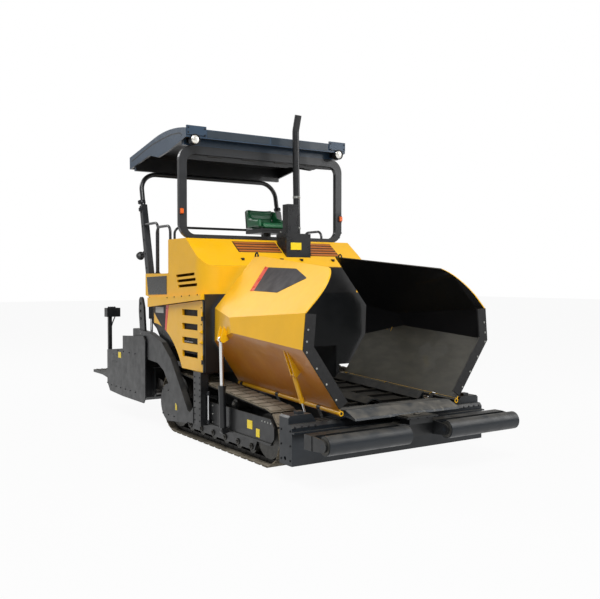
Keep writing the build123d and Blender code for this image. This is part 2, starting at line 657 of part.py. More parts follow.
def band_low(y):
    """Lower edge of the ledge that runs along the body above the doors."""
    return BAND_LOW_Z + (880 - y) * 0.083


def band_top(y):
    return BAND_TOP_Z + (880 - y) * 0.044


with BuildPart() as hopper_rear_wall:
    with BuildSketch(across(WALL_Y + WALL_T)):
        wall_top = band_top(WALL_Y + WALL_T)
        with BuildLine():
            Polyline((-FRAME_X, 690), (-FRAME_X, SHELF_Z), (-BODY_X + 10, SHELF_Z), (-BODY_X + 10, wall_top),
                     (BODY_X - 10, wall_top), (BODY_X - 10, SHELF_Z), (FRAME_X, SHELF_Z), (FRAME_X, 690), close=True)
        make_face()
        for side in (-1, 1):
            with Locations((side * (MOUTH_X[0] + MOUTH_X[1]) / 2, (MOUTH_TOP_Z + 680) / 2)):
                Rectangle(MOUTH_X[1] - MOUTH_X[0], MOUTH_TOP_Z - 680, mode=Mode.SUBTRACT)
    extrude(amount=WALL_T)
    for side in (-1, 1):
        with Locations((side * (BODY_X - 25), WALL_Y + WALL_T + 11, (SHELF_Z + band_low(WALL_Y) - 10) / 2)):
            Box(50, 22, band_low(WALL_Y) - 10 - SHELF_Z)
        for z in KNUCKLES_Z:
            with BuildSketch(level(z)):
                with Locations((side * door_axis[0], door_axis[1])):
                    Circle(KNUCKLE_R)
                with BuildLine():
                    Polyline((side * (BODY_X - 12), WALL_Y + WALL_T + 22), (side * (BODY_X - 12), WALL_Y + WALL_T),
                             (side * BODY_X, WALL_Y + WALL_T), (side * (BODY_X + KNUCKLE_R), door_axis[1] - KNUCKLE_R),
                             (side * BODY_X, door_axis[1]), close=True)
                make_face()
            extrude(amount=-KNUCKLE_H)
save("hopper_rear_wall", hopper_rear_wall)

# ---- side doors: louvred service panels, cut away over the tow arms --------------------------
DOOR_SLOTS_Z = (1570, 1405, 1240, 1080)      # top edges
SLOT_H = 75
SLOT_Y = (-470, -50)
with BuildPart() as side_door:
    with BuildSketch(along(BODY_X - DOOR_T)):
        with BuildLine():
            Polyline((-40, SHELF_Z), (DOOR_FRONT_Y, SHELF_Z), (DOOR_FRONT_Y, band_low(DOOR_FRONT_Y) - RUN_GAP),
                     (DOOR_REAR_Y, band_low(DOOR_REAR_Y) - RUN_GAP), (DOOR_REAR_Y, 1365))
            ThreePointArc((DOOR_REAR_Y, 1365), (320, 1225), (-40, SHELF_Z))
        make_face()
        for z in DOOR_SLOTS_Z:
            with Locations(((SLOT_Y[0] + SLOT_Y[1]) / 2, z - SLOT_H / 2)):
                Rectangle(SLOT_Y[1] - SLOT_Y[0], SLOT_H, mode=Mode.SUBTRACT)
    extrude(amount=DOOR_T)
    for z in KNUCKLES_Z:
        with BuildSketch(level(z + 2)):
            with Locations(door_axis):
                Circle(KNUCKLE_R)
            with BuildLine():
                Polyline((BODY_X - 3, DOOR_FRONT_Y), (BODY_X - 3, DOOR_FRONT_Y + 25), (BODY_X, DOOR_FRONT_Y + 25),
                         (BODY_X + KNUCKLE_R, door_axis[1] + KNUCKLE_R), (BODY_X + KNUCKLE_R, door_axis[1]), close=True)
            make_face()
        extrude(amount=KNUCKLE_H)
save_pair("side_door", side_door)

# ---- shelf over each track, and the tow column with its guide post ---------------------------
TOW_POST_Y = (-625, -440)
with BuildPart() as tow_column:
    with Locations(((FRAME_X + 1140) / 2, (WALL_Y + WALL_T + CHASSIS_REAR_Y) / 2, SHELF_Z - 8)):
        Box(1140 - FRAME_X, CHASSIS_REAR_Y - WALL_Y - WALL_T, 16)
    with Locations((1190, (TOW_POST_Y[0] + TOW_POST_Y[1]) / 2, (SHELF_Z + 250) / 2)):
        Box(100, TOW_POST_Y[1] - TOW_POST_Y[0], SHELF_Z - 250)
    for x in (ARM_X - 22, ARM_X + ARM_T + 4):
        with BuildSketch(along(x)):
            with Locations((TOW_Y, TOW_Z)):
                Circle(48)
            with BuildLine():
                Polyline((TOW_POST_Y[1] - 1, TOW_Z - 48), (TOW_Y, TOW_Z - 48), (TOW_Y, TOW_Z + 48),
                         (TOW_POST_Y[1] - 1, TOW_Z + 140), close=True)
            make_face()
        extrude(amount=18)
    with Locations(Location((ARM_X + ARM_T / 2, TOW_Y, TOW_Z), (0, 90, 0))):
        Cylinder(22, ARM_T + 44)
save_both("tow_columns", tow_column)

# rounded guard over each final drive, on the track frame's outer side
with BuildPart() as drive_guard:
    with BuildSketch(along(GUARD_X)):
        with Locations((500, 367)):
            Circle(235)
        with BuildLine():
            Polyline((-60, 190), (500, 132), (500, 602), (-60, 540), close=True)
        make_face()
    extrude(amount=24)
    boss_x = CHEEK_X[1] + CHEEK_T
    with Locations(Location(((GUARD_X + boss_x) / 2, SPROCKET_Y, SPROCKET_R), (0, 90, 0))):
        Cylinder(70, GUARD_X - boss_x)
        Cylinder(AXLE_R + SHAFT_GAP, GUARD_X - boss_x, mode=Mode.SUBTRACT)
save_both("drive_guards", drive_guard)

# ---- engine block, hood, body under the deck --------------------------------------------------
ENGINE_Y = (-500, 250)
with BuildPart() as engine_block:
    with Locations((0, (ENGINE_Y[0] + ENGINE_Y[1]) / 2, (TUNNEL_TOP_Z + 16 + 2050) / 2)):
        Box(840, ENGINE_Y[1] - ENGINE_Y[0], 2050 - TUNNEL_TOP_Z - 16)
save("engine_block", engine_block)

HOOD_T = 20
HOOD_FRONT_Y = WALL_Y
HOOD_CORNER_R = 240
HOOD_SLOPE = ((-600, 2090), (-450, 2200), (-150, 2420))   # y and z of the front slope


def hood_block(inset, bottom_drop):
    """Solid inside the hood: a plan with rounded front corners, trimmed by the side profile."""
    with BuildPart() as block:
        with BuildSketch(level(1500)):
            with BuildLine():
                y0 = HOOD_FRONT_Y + inset
                y1 = HOOD_REAR_Y - inset
                x = BODY_X - inset
                r = HOOD_CORNER_R - inset
                Polyline((-x, y0 + r), (-x, y1), (x, y1), (x, y0 + r))
                RadiusArc((x, y0 + r), (x - r, y0), r)
                Line((x - r, y0), (-x + r, y0))
                RadiusArc((-x + r, y0), (-x, y0 + r), r)
            make_face()
        extrude(amount=1000)
        with BuildSketch(along(-BODY_X - 10)):
            with BuildLine():
                y0 = HOOD_FRONT_Y - 10
                y1 = HOOD_REAR_Y + 10
                Polyline((y0, band_top(y0) - bottom_drop), (y0, 2080 - inset),
                         *((y, z - inset) for y, z in HOOD_SLOPE), (y1, HOOD_TOP_Z - inset),
                         (y1, band_top(y1) - bottom_drop), close=True)
            make_face()
        extrude(amount=2 * BODY_X + 20, mode=Mode.INTERSECT)
    return block.part


with BuildPart() as engine_hood:
    add(hood_block(0, 0))
    add(hood_block(HOOD_T, 50), mode=Mode.SUBTRACT)
    for row in range(3):
        with BuildSketch(along(-BODY_X - 5)):
            z = 1850 + row * 62
            with BuildLine():
                Polyline((-450 + row * 30, z), (60 + row * 30, z - 25), (60 + row * 30, z + 8), (-450 + row * 30, z + 33),
                         close=True)
            make_face()
        extrude(amount=2 * BODY_X + 10, mode=Mode.SUBTRACT)
save("engine_hood", engine_hood)

with BuildPart() as body_ledge:
    with BuildSketch(along(BODY_X - 90)):
        y0 = WALL_Y + WALL_T
        with BuildLine():
            Polyline((y0, band_low(y0)), (BODY_REAR_Y, band_low(BODY_REAR_Y)), (BODY_REAR_Y, band_top(BODY_REAR_Y)),
                     (y0, band_top(y0)), close=True)
        make_face()
    extrude(amount=130)
save_both("body_ledges", body_ledge)

TANK_T = 15
with BuildPart() as tank_body:
    y0 = HOOD_REAR_Y + 2
    with BuildSketch(along(-BODY_X + 90)):
        with BuildLine():
            Polyline((y0, TUNNEL_TOP_Z + 16), (CHASSIS_REAR_Y, TUNNEL_TOP_Z + 16), (BODY_REAR_Y, 1420),
                     (BODY_REAR_Y, DECK_Z - 25), (y0, DECK_Z - 25), close=True)
        make_face()
    extrude(amount=2 * BODY_X - 180)
    with BuildSketch(along(-BODY_X + 90 + TANK_T)):
        with BuildLine():
            Polyline((y0 + TANK_T, TUNNEL_TOP_Z + 16), (CHASSIS_REAR_Y - TANK_T, TUNNEL_TOP_Z + 16),
                     (BODY_REAR_Y - TANK_T, 1420 + TANK_T), (BODY_REAR_Y - TANK_T, DECK_Z - 25 - TANK_T),
                     (y0 + TANK_T, DECK_Z - 25 - TANK_T), close=True)
        make_face()
    extrude(amount=2 * BODY_X - 180 - 2 * TANK_T, mode=Mode.SUBTRACT)
save("tank_body", tank_body)

# ---- operator's deck with a storage box on each side -----------------------------------------
with BuildPart() as operator_deck:
    y0 = HOOD_REAR_Y + 2
    with Locations((0, (y0 + DECK_REAR_Y) / 2, DECK_Z - 12.5)):
        Box(2 * BODY_X - 180, DECK_REAR_Y - y0, 25)
    with Locations((0, DECK_REAR_Y - 20, DECK_Z - 60)):
        Box(2 * BODY_X - 180, 40, 70)
    for side in (-1, 1):
        for x in (LIFT_X - 34, LIFT_X + 22):
            with BuildSketch(along(side * (x + 6) - 6)):
                with Locations((LIFT_Y, LIFT_TOP_Z)):
                    Circle(36)
                with BuildLine():
                    Polyline((LIFT_Y - 36, LIFT_TOP_Z), (LIFT_Y + 36, LIFT_TOP_Z), (LIFT_Y + 70, DECK_Z - 20),
                             (LIFT_Y - 70, DECK_Z - 20), close=True)
                make_face()
            extrude(amount=12)
        with Locations(Location((side * LIFT_X, LIFT_Y, LIFT_TOP_Z), (0, 90, 0))):
            Cylinder(15, 60)
save("operator_deck", operator_deck)

with BuildPart() as side_box:
    with BuildSketch(along(BODY_X - 90)):
        y0 = HOOD_REAR_Y + 2
        y1 = BODY_REAR_Y + 160
        with BuildLine():
            Polyline((y0, band_top(y0)), (BODY_REAR_Y, band_top(BODY_REAR_Y)), (y1, band_top(BODY_REAR_Y) + 30),
                     (y1, DECK_Z), (y0, DECK_Z), close=True)
        make_face()
    extrude(amount=90)
save_both("side_boxes", side_box)

# ---- canopy on its front hoop and rear hoop ----------------------------------------------------
HOOP_HALF = 1208
HOOP_W = 100
HOOP_D = 60
with BuildPart() as front_hoop:
    with BuildSketch(across(HOOP_Y + HOOP_D / 2)):
        with Locations((0, (HOOD_TOP_Z + HOOP_TOP_Z) / 2)):
            RectangleRounded(2 * HOOP_HALF, HOOP_TOP_Z - HOOD_TOP_Z, 180)
        with Locations((0, (HOOD_TOP_Z + 56 + HOOP_TOP_Z - HOOP_W) / 2)):
            RectangleRounded(2 * (HOOP_HALF - HOOP_W), HOOP_TOP_Z - HOOP_W - HOOD_TOP_Z - 56, 110, mode=Mode.SUBTRACT)
    extrude(amount=HOOP_D)
save("front_hoop", front_hoop)

REAR_X = 1074
REAR_TUBE_R = 32
REAR_LEAN = radians(13)
REAR_RISE = 470
REAR_FOOT = (1460, 2920)          # y and z where the tube leaves its posts
REAR_HOOP_Y = REAR_FOOT[0] + REAR_RISE * sin(REAR_LEAN)
REAR_HOOP_TOP_Z = REAR_FOOT[1] + REAR_RISE * cos(REAR_LEAN) + REAR_TUBE_R
with BuildPart() as rear_hoop:
    lean = Plane(origin=(0, *REAR_FOOT), x_dir=(1, 0, 0), z_dir=(0, -cos(REAR_LEAN), sin(REAR_LEAN)))
    with BuildLine(lean) as hoop_line:
        FilletPolyline((-REAR_X, 0), (-REAR_X, REAR_RISE), (REAR_X, REAR_RISE), (REAR_X, 0), radius=230)
    with BuildSketch(Plane(origin=hoop_line.line @ 0, z_dir=hoop_line.line % 0)):
        Circle(REAR_TUBE_R)
    sweep(path=hoop_line.line)
    for side in (-1, 1):
        with BuildSketch(along(side * REAR_X - 40)):
            with BuildLine():
                Polyline((1180, DECK_Z), (1290, DECK_Z), (1505, 2925), (1425, 2950), close=True)
            make_face()
        extrude(amount=80)
save("rear_hoop", rear_hoop)

SKIRT = ((CANOPY_REAR_Y, 3445), (1000, 3546), (720, 3487), (410, 3523), (CANOPY_FRONT_Y, 3624))
CANOPY_T = 28


def canopy_block(inset, drop):
    """Solid under the roof's skin: a crowned top, square ends, and skirts that follow SKIRT."""
    y0 = CANOPY_FRONT_Y + inset
    y1 = CANOPY_REAR_Y - inset
    with BuildPart() as block:
        with BuildSketch(along(-CANOPY_HALF + inset)):
            with BuildLine():
                ThreePointArc((y0, CANOPY_TOP_Z - 45 - inset), (320, CANOPY_TOP_Z - inset), (790, CANOPY_TOP_Z - 28 - inset))
                Line((790, CANOPY_TOP_Z - 28 - inset), (y1, CANOPY_TOP_Z - 175 - inset))
                Polyline((y1, CANOPY_TOP_Z - 175 - inset), (y1, SKIRT[0][1] - drop), (SKIRT[1][0], SKIRT[1][1] - drop),
                         (SKIRT[2][0], SKIRT[2][1] - drop), (SKIRT[3][0], SKIRT[3][1] - drop),
                         (y0, SKIRT[4][1] - drop), (y0, CANOPY_TOP_Z - 45 - inset))
            make_face()
        extrude(amount=2 * (CANOPY_HALF - inset))
    return block.part


with BuildPart() as canopy:
    add(canopy_block(0, 0))
    add(canopy_block(CANOPY_T, 300), mode=Mode.SUBTRACT)
    # cross channels that sit on the two hoops
    with Locations((0, HOOP_Y, (HOOP_TOP_Z + CANOPY_TOP_Z - 50) / 2)):
        Box(2 * CANOPY_HALF - 2 * CANOPY_T, HOOP_D, CANOPY_TOP_Z - 50 - HOOP_TOP_Z)
    rear_seat = REAR_HOOP_TOP_Z + SHAFT_GAP
    with Locations((0, REAR_HOOP_Y, (rear_seat + 3610) / 2)):
        Box(2 * CANOPY_HALF - 2 * CANOPY_T, HOOP_D, 3610 - rear_seat)
    for side in (-1, 1):
        with Locations((side * 1040, CANOPY_FRONT_Y - 1, CANOPY_TOP_Z - 70)):
            Box(260, 24, 110)
save("canopy", canopy)

LAMP_R = 67
with BuildPart() as canopy_lamps:
    for side in (-1, 1):
        with BuildSketch(across(CANOPY_FRONT_Y + CANOPY_T + 40)):
            with Locations((side * 1060, 3600)):
                Circle(LAMP_R - 10)
        extrude(amount=39, taper=-8)
        with Locations((side * 1060, CANOPY_FRONT_Y + CANOPY_T + 62, 3600)):
            Box(50, 44, 40)
        with Locations((side * 1060, HOOP_Y - HOOP_D / 2 - 4, 3600)):
            Box(110, 8, 60)
save("canopy_lamps", canopy_lamps)

# ---- exhaust: case on the hood's slope, stack and curved tip ----------------------------------
EXHAUST_X = 215
EXHAUST_Y = -330
hood_rise = (HOOD_SLOPE[2][1] - HOOD_SLOPE[1][1]) / (HOOD_SLOPE[2][0] - HOOD_SLOPE[1][0])
with BuildPart() as exhaust_stack:
    with BuildSketch(along(EXHAUST_X - 180)):
        y0 = EXHAUST_Y - 118
        y1 = EXHAUST_Y + 110
        with BuildLine():
            Polyline((y0, HOOD_SLOPE[1][1] + (y0 - HOOD_SLOPE[1][0]) * hood_rise),
                     (y1, HOOD_SLOPE[1][1] + (y1 - HOOD_SLOPE[1][0]) * hood_rise), (y1, 2500), (y0, 2500), close=True)
        make_face()
    extrude(amount=360)
    with Locations((EXHAUST_X - 50, EXHAUST_Y, (2500 + 2870) / 2)):
        Box(150, 130, 370)
    with BuildLine() as stack_line:
        FilletPolyline((EXHAUST_X + 50, EXHAUST_Y, 2500), (EXHAUST_X + 30, EXHAUST_Y, 3800),
                       (EXHAUST_X + 30, EXHAUST_Y - 60, 3990), radius=180)
    with BuildSketch(Plane(origin=stack_line.line @ 0, z_dir=stack_line.line % 0)):
        Circle(43)
    sweep(path=stack_line.line)
save("exhaust_stack", exhaust_stack)

# ---- operator's seat on its pedestal, console, handrails ---------------------------------------
SEAT_X = 465
SEAT_Y = 750
with BuildPart() as seat_base:
    with BuildSketch(level(DECK_Z + SHAFT_GAP)):
        with Locations((SEAT_X, SEAT_Y)):
            Circle(150)
    extrude(amount=20)
    with Locations((SEAT_X, SEAT_Y, (DECK_Z + 20 + 2560) / 2)):
        Cylinder(55, 2560 - DECK_Z - 20)
    with Locations((SEAT_X, SEAT_Y, 2580)):
        Box(440, 420, 40)
save("seat_base", seat_base)

with BuildPart() as seat_cushion:
    with BuildSketch(along(SEAT_X - 245)):
        with BuildLine():
            Polyline((SEAT_Y - 240, 2600), (SEAT_Y + 190, 2600), (SEAT_Y + 270, 2930), (SEAT_Y + 170, 2930),
                     (SEAT_Y + 120, 2720), (SEAT_Y - 240, 2700), close=True)
        make_face()
    extrude(amount=490)
save("seat_cushion", seat_cushion)

with BuildPart() as control_console:
    with BuildSketch(along(SEAT_X - 330)):
        with BuildLine():
            Polyline((HOOD_REAR_Y + 10, DECK_Z), (HOOD_REAR_Y + 110, DECK_Z), (HOOD_REAR_Y + 170, 2380),
                     (HOOD_REAR_Y + 60, 2450), (HOOD_REAR_Y + 10, 2450), close=True)
        make_face()
    extrude(amount=660)
save("control_console", control_console)

RAIL_R = 17
POST_RAIL_Y = 1370        # the rails run into the leaning posts of the rear hoop and are cut to them
RAILS = (
    # points of each bent rail
    ((-1150, 400, 2000), (-1150, 400, 2600), (-1150, 820, 2600), (-1150, 820, 2000)),
    ((1150, 400, 2000), (1150, 400, 2600), (1150, 820, 2600), (1150, 820, 2000)),
    ((-1088, 930, 2000), (-1088, 930, 2670), (-1088, POST_RAIL_Y, 2670)),
    ((1088, 930, 2000), (1088, 930, 2670), (1088, POST_RAIL_Y, 2670)),
    ((-700, 1270, 2000), (-700, 1270, 2640), (700, 1270, 2640), (700, 1270, 2000)),
)
with BuildPart() as handrails:
    for points in RAILS:
        with BuildLine() as rail_line:
            FilletPolyline(*points, radius=90)
        with BuildSketch(Plane(origin=points[0], z_dir=(0, 0, 1))):
            Circle(RAIL_R)
        sweep(path=rail_line.line)
    add(rear_hoop.part, mode=Mode.SUBTRACT)
save("handrails", handrails)

# ---- augers in front of the screed -------------------------------------------------------------
AUGER_X = (96, 1118)
AUGER_SHAFT_R = 36
GEARBOX_HALF = 85
FLIGHT_PITCH = 350
FLIGHT_T = 16
hanger_x = AUGER_X[1] + 2
with BuildPart() as auger_bracket:
    for side in (-1, 1):
        with Locations((side * (FRAME_X + 10), (CHASSIS_REAR_Y - 40 + AUGER_Y + 30) / 2, 700)):
            Box(20, AUGER_Y + 70 - CHASSIS_REAR_Y, 140)
        with BuildSketch(along(side * (hanger_x + 8) - 8)):
            with Locations((AUGER_Y, AUGER_Z)):
                Circle(60)
            with Locations((AUGER_Y, (AUGER_Z + 760) / 2)):
                Rectangle(90, 760 - AUGER_Z)
            with Locations((AUGER_Y, AUGER_Z)):
                Circle(AUGER_SHAFT_R * 0.6 + SHAFT_GAP, mode=Mode.SUBTRACT)
        extrude(amount=16)
    with Locations((0, AUGER_Y, 730)):
        Box(2 * hanger_x, 60, 60)
    with Locations((0, AUGER_Y, (350 + 730) / 2)):
        Box(2 * GEARBOX_HALF, 110, 380)
save("auger_bracket", auger_bracket)

with BuildPart() as auger:
    shaft_start = GEARBOX_HALF + SHAFT_GAP
    with BuildSketch(along(shaft_start)):
        with Locations((AUGER_Y, AUGER_Z)):
            Circle(AUGER_SHAFT_R)
    extrude(amount=AUGER_X[1] - shaft_start)
    with BuildSketch(along(shaft_start)):
        with Locations((AUGER_Y, AUGER_Z)):
            Circle(AUGER_SHAFT_R * 0.6)
    extrude(amount=AUGER_X[1] + 20 - shaft_start)
    # each half turn of the flight is a flat half ring, canted to the pitch
    half_turns = int((AUGER_X[1] - AUGER_X[0] - 60) // (FLIGHT_PITCH / 2))
    cant = degrees(atan2(FLIGHT_PITCH / 4, AUGER_R * 0.8))
    for i in range(half_turns):
        centre_x = AUGER_X[0] + 30 + (i + 0.5) * FLIGHT_PITCH / 2
        facing = 1 if i % 2 == 0 else -1
        blade_plane = Plane(origin=(centre_x, AUGER_Y, AUGER_Z), x_dir=(sin(radians(cant)), facing * cos(radians(cant)), 0),
                            z_dir=(cos(radians(cant)), -facing * sin(radians(cant)), 0))
        with BuildSketch(blade_plane):
            Circle(AUGER_R)
            Circle(AUGER_SHAFT_R - 4, mode=Mode.SUBTRACT)
            with Locations((0, -AUGER_R)):
                Rectangle(3 * AUGER_R, 2 * AUGER_R, mode=Mode.SUBTRACT)
        extrude(amount=FLIGHT_T / 2, both=True)
save_pair("auger", auger)

# ---- screed: tow arms, main screed, extensions with walkways ------------------------------------
ARM_UPPER = ((-250, 372), (0, 673), (240, 947), (510, 1130), (900, 1230), (1480, 1262))
ARM_LOWER = ((1480, 880), (1000, 880), (640, 860), (450, 780), (240, 560), (-40, 300), (-200, 236))
MAIN_HALF = ARM_X
MAIN_REAR_Y = 1780
BOX_T = 20
with BuildPart() as tow_arm:
    with BuildSketch(along(ARM_X)):
        with BuildLine():
            FilletPolyline((TOW_Y, TOW_Z - 60), (TOW_Y - 30, TOW_Z + 56), *ARM_UPPER, *ARM_LOWER, radius=22, close=True)
        make_face()
        with Locations((TOW_Y, TOW_Z)):
            Circle(62)
            Circle(22 + SHAFT_GAP, mode=Mode.SUBTRACT)
    extrude(amount=ARM_T)
    with BuildSketch(along(ARM_X + 22)):
        with BuildLine():
            Polyline((1120, 1200), (1165, 1560), (1200, 1640))
            ThreePointArc((1200, 1640), (1262, 1690), (1318, 1640))
            Polyline((1318, 1640), (1330, 1500), (1290, 1230), (1120, 1200))
        make_face()
        with Locations((1255, 1600), (1262, 1500), (1250, 1400)):
            Circle(22, mode=Mode.SUBTRACT)
    extrude(amount=30)
    for x in (LIFT_X - 34, LIFT_X + 22):
        with BuildSketch(along(x)):
            with Locations((LIFT_Y, LIFT_LOW_Z)):
                Circle(38)
        extrude(amount=12)
    with BuildSketch(along(LIFT_X - 34)):
        with Locations((LIFT_Y, LIFT_LOW_Z - 62)):
            Rectangle(90, 50)
        with BuildLine():
            Polyline((LIFT_Y - 38, LIFT_LOW_Z), (LIFT_Y + 38, LIFT_LOW_Z), (LIFT_Y + 45, LIFT_LOW_Z - 60),
                     (LIFT_Y - 45, LIFT_LOW_Z - 60), close=True)
        make_face()
    extrude(amount=12)
    with BuildSketch(along(LIFT_X + 22)):
        with BuildLine():
            Polyline((LIFT_Y - 38, LIFT_LOW_Z), (LIFT_Y + 38, LIFT_LOW_Z), (LIFT_Y + 45, LIFT_LOW_Z - 60),
                     (LIFT_Y - 45, LIFT_LOW_Z - 60), close=True)
        make_face()
    extrude(amount=12)
    with BuildSketch(along(LIFT_X - 34)):
        with Locations((LIFT_Y, LIFT_LOW_Z - 62)):
            Rectangle(90, 40)
    extrude(amount=ARM_X - LIFT_X + 34)
save_pair("tow_arm", tow_arm)

EXT_X = (25, 1222)
EXT_Y = (1850, 2400)
GATE_T = 14
GATE_BOLTS = (2120, 800)                  # centre of the bolt pattern for added edge plates
GATE_BOLT_SPACING = (160, 100)
GATE_BOLT_R = 9
TUBES = ((1815, 560), (1815, 860))        # y and z of each side's two sliding tubes
TUBE_R = 30
GUIDE_R = 42
GUIDE_PLATE_X = 300                       # inner plates that carry the fixed guide tubes
with BuildPart() as screed_main:
    with BuildSketch(along(-MAIN_HALF)):
        with BuildLine():
            Polyline((SCREED_FRONT_Y, SCREED_LOW_Z + 40), (SCREED_FRONT_Y + 40, SCREED_LOW_Z), (MAIN_REAR_Y - 30, SCREED_LOW_Z),
                     (MAIN_REAR_Y - 30, 640), (MAIN_REAR_Y - 120, 1000), (SCREED_FRONT_Y + 160, 1000), (SCREED_FRONT_Y, 760),
                     close=True)
        make_face()
    extrude(amount=2 * MAIN_HALF)
    # hollow, open behind, with ribs that carry the guide tubes
    with BuildSketch(along(-MAIN_HALF + BOX_T)):
        with BuildLine():
            Polyline((SCREED_FRONT_Y + BOX_T, SCREED_LOW_Z + 60), (MAIN_REAR_Y - 30, SCREED_LOW_Z + 60),
                     (MAIN_REAR_Y - 30, 640), (MAIN_REAR_Y - 120 - BOX_T, 1000 - BOX_T),
                     (SCREED_FRONT_Y + 160 + BOX_T, 1000 - BOX_T), (SCREED_FRONT_Y + BOX_T, 760 - BOX_T), close=True)
        make_face()
    extrude(amount=2 * (MAIN_HALF - BOX_T), mode=Mode.SUBTRACT)
    for x in (-GUIDE_PLATE_X - 20, GUIDE_PLATE_X):
        with BuildSketch(along(x)):
            with BuildLine():
                Polyline((SCREED_FRONT_Y + 10, SCREED_LOW_Z + 55), (MAIN_REAR_Y - 100, SCREED_LOW_Z + 55),
                         (MAIN_REAR_Y - 100, 860), (MAIN_REAR_Y - 140, 990), (SCREED_FRONT_Y + 160, 990),
                         (SCREED_FRONT_Y + 10, 750), close=True)
            make_face()
        extrude(amount=20)
    for x in (-MAIN_HALF, -GUIDE_PLATE_X - 20, GUIDE_PLATE_X, MAIN_HALF - 20):
        with BuildSketch(along(x)):
            with BuildLine():
                Polyline((MAIN_REAR_Y - 200, 420), (1760, 420), (1860, 500), (1860, 920), (MAIN_REAR_Y - 200, 980), close=True)
            make_face()
        extrude(amount=20)
    for y, z in TUBES:
        with Locations(Location((0, y, z), (0, 90, 0))):
            Cylinder(GUIDE_R, 2 * MAIN_HALF)
            Cylinder(TUBE_R + SHAFT_GAP, 2 * MAIN_HALF + 20, mode=Mode.SUBTRACT)
save("screed_main", screed_main)

WALKWAY_Z = 520
BOX_POST_Y = 2490
with BuildPart() as screed_extension:
    with BuildSketch(along(EXT_X[0])):
        with BuildLine():
            Polyline((EXT_Y[0] + 20, SCREED_LOW_Z), (EXT_Y[1] - 120, SCREED_LOW_Z), (EXT_Y[1], SCREED_LOW_Z + 90),
                     (EXT_Y[1], 640), (EXT_Y[1] - 60, 700), (EXT_Y[0] + 20, 700), close=True)
        make_face()
    extrude(amount=EXT_X[1] - EXT_X[0])
    # hollow, open in front
    with BuildSketch(along(EXT_X[0] + BOX_T)):
        with BuildLine():
            Polyline((EXT_Y[0] + 20, SCREED_LOW_Z + 60), (EXT_Y[1] - 120, SCREED_LOW_Z + 60),
                     (EXT_Y[1] - BOX_T, SCREED_LOW_Z + 120), (EXT_Y[1] - BOX_T, 640 - BOX_T),
                     (EXT_Y[1] - 60 - BOX_T, 700 - BOX_T), (EXT_Y[0] + 20, 700 - BOX_T), close=True)
        make_face()
    extrude(amount=EXT_X[1] - EXT_X[0] - 2 * BOX_T, mode=Mode.SUBTRACT)
    # walkway behind, on two brackets
    with Locations(((EXT_X[0] + EXT_X[1]) / 2, (EXT_Y[1] + WALKWAY_REAR_Y) / 2, WALKWAY_Z)):
        Box(EXT_X[1] - EXT_X[0], WALKWAY_REAR_Y - EXT_Y[1], 40)
    for x in (EXT_X[0] + 60, EXT_X[1] - 90):
        with BuildSketch(along(x)):
            with BuildLine():
                Polyline((EXT_Y[1], 420), (WALKWAY_REAR_Y - 60, WALKWAY_Z - 20), (EXT_Y[1], WALKWAY_Z - 20), close=True)
            make_face()
        extrude(amount=30)
    # end gate, forward past the augers' ends
    with BuildSketch(along(HALF_WIDTH - GATE_T)):
        with BuildLine():
            Polyline((1000, SCREED_LOW_Z + 60), (1060, SCREED_LOW_Z - 10), (1810, SCREED_LOW_Z - 10), (1810, 1140),
                     (1060, 1180), (1000, 1120), close=True)
        make_face()
        with BuildLine():
            Polyline((1810, SCREED_LOW_Z - 10), (2330, SCREED_LOW_Z + 10), (2440, SCREED_LOW_Z + 120), (2440, 900),
                     (1810, 960), close=True)
        make_face()
        with Locations(GATE_BOLTS):
            with GridLocations(*GATE_BOLT_SPACING, 2, 2):
                Circle(GATE_BOLT_R, mode=Mode.SUBTRACT)
    extrude(amount=GATE_T)
    with Locations(((EXT_X[1] + HALF_WIDTH - GATE_T) / 2, 2120, 520)):
        Box(HALF_WIDTH - GATE_T - EXT_X[1], 500, 320)
    # tubes that slide in the main screed's guides, held by an end plate
    with BuildSketch(along(EXT_X[1] - 36)):
        with BuildLine():
            Polyline((1775, 500), (EXT_Y[0] + 70, 500), (EXT_Y[0] + 70, 700), (EXT_Y[0] + 20, 910), (1775, 910), close=True)
        make_face()
    extrude(amount=36)
    for y, z in TUBES:
        with Locations(Location(((EXT_X[0] + EXT_X[1]) / 2, y, z), (0, 90, 0))):
            Cylinder(TUBE_R, EXT_X[1] - EXT_X[0])
    # control box on its post
    with Locations((HALF_WIDTH - 60, BOX_POST_Y, (WALKWAY_Z + 1400) / 2)):
        Box(50, 50, 1400 - WALKWAY_Z)
    with Locations((HALF_WIDTH - 100, BOX_POST_Y, 1440)):
        Box(200, 120, 130)
save_pair("screed_extension", screed_extension)

# ---- lift rams: hold the screed up by its arms --------------------------------------------------
with BuildPart() as lift_barrel:
    with Locations((LIFT_X, LIFT_Y, (LIFT_TOP_Z - 50 + 1400) / 2)):
        Cylinder(38, LIFT_TOP_Z - 50 - 1400)
    with Locations((LIFT_X, LIFT_Y, LIFT_TOP_Z - 40)):
        Box(36, 44, 50)
    with Locations(Location((LIFT_X, LIFT_Y, LIFT_TOP_Z), (0, 90, 0))):
        Cylinder(34, 40)
    with Locations(Location((LIFT_X, LIFT_Y, LIFT_TOP_Z), (0, 90, 0))):
        Cylinder(15 + SHAFT_GAP, 60, mode=Mode.SUBTRACT)
    with Locations((LIFT_X, LIFT_Y, 1600)):
        Cylinder(LIFT_ROD_R + SHAFT_GAP, 400, mode=Mode.SUBTRACT)
save_pair("lift_ram_barrel", lift_barrel)

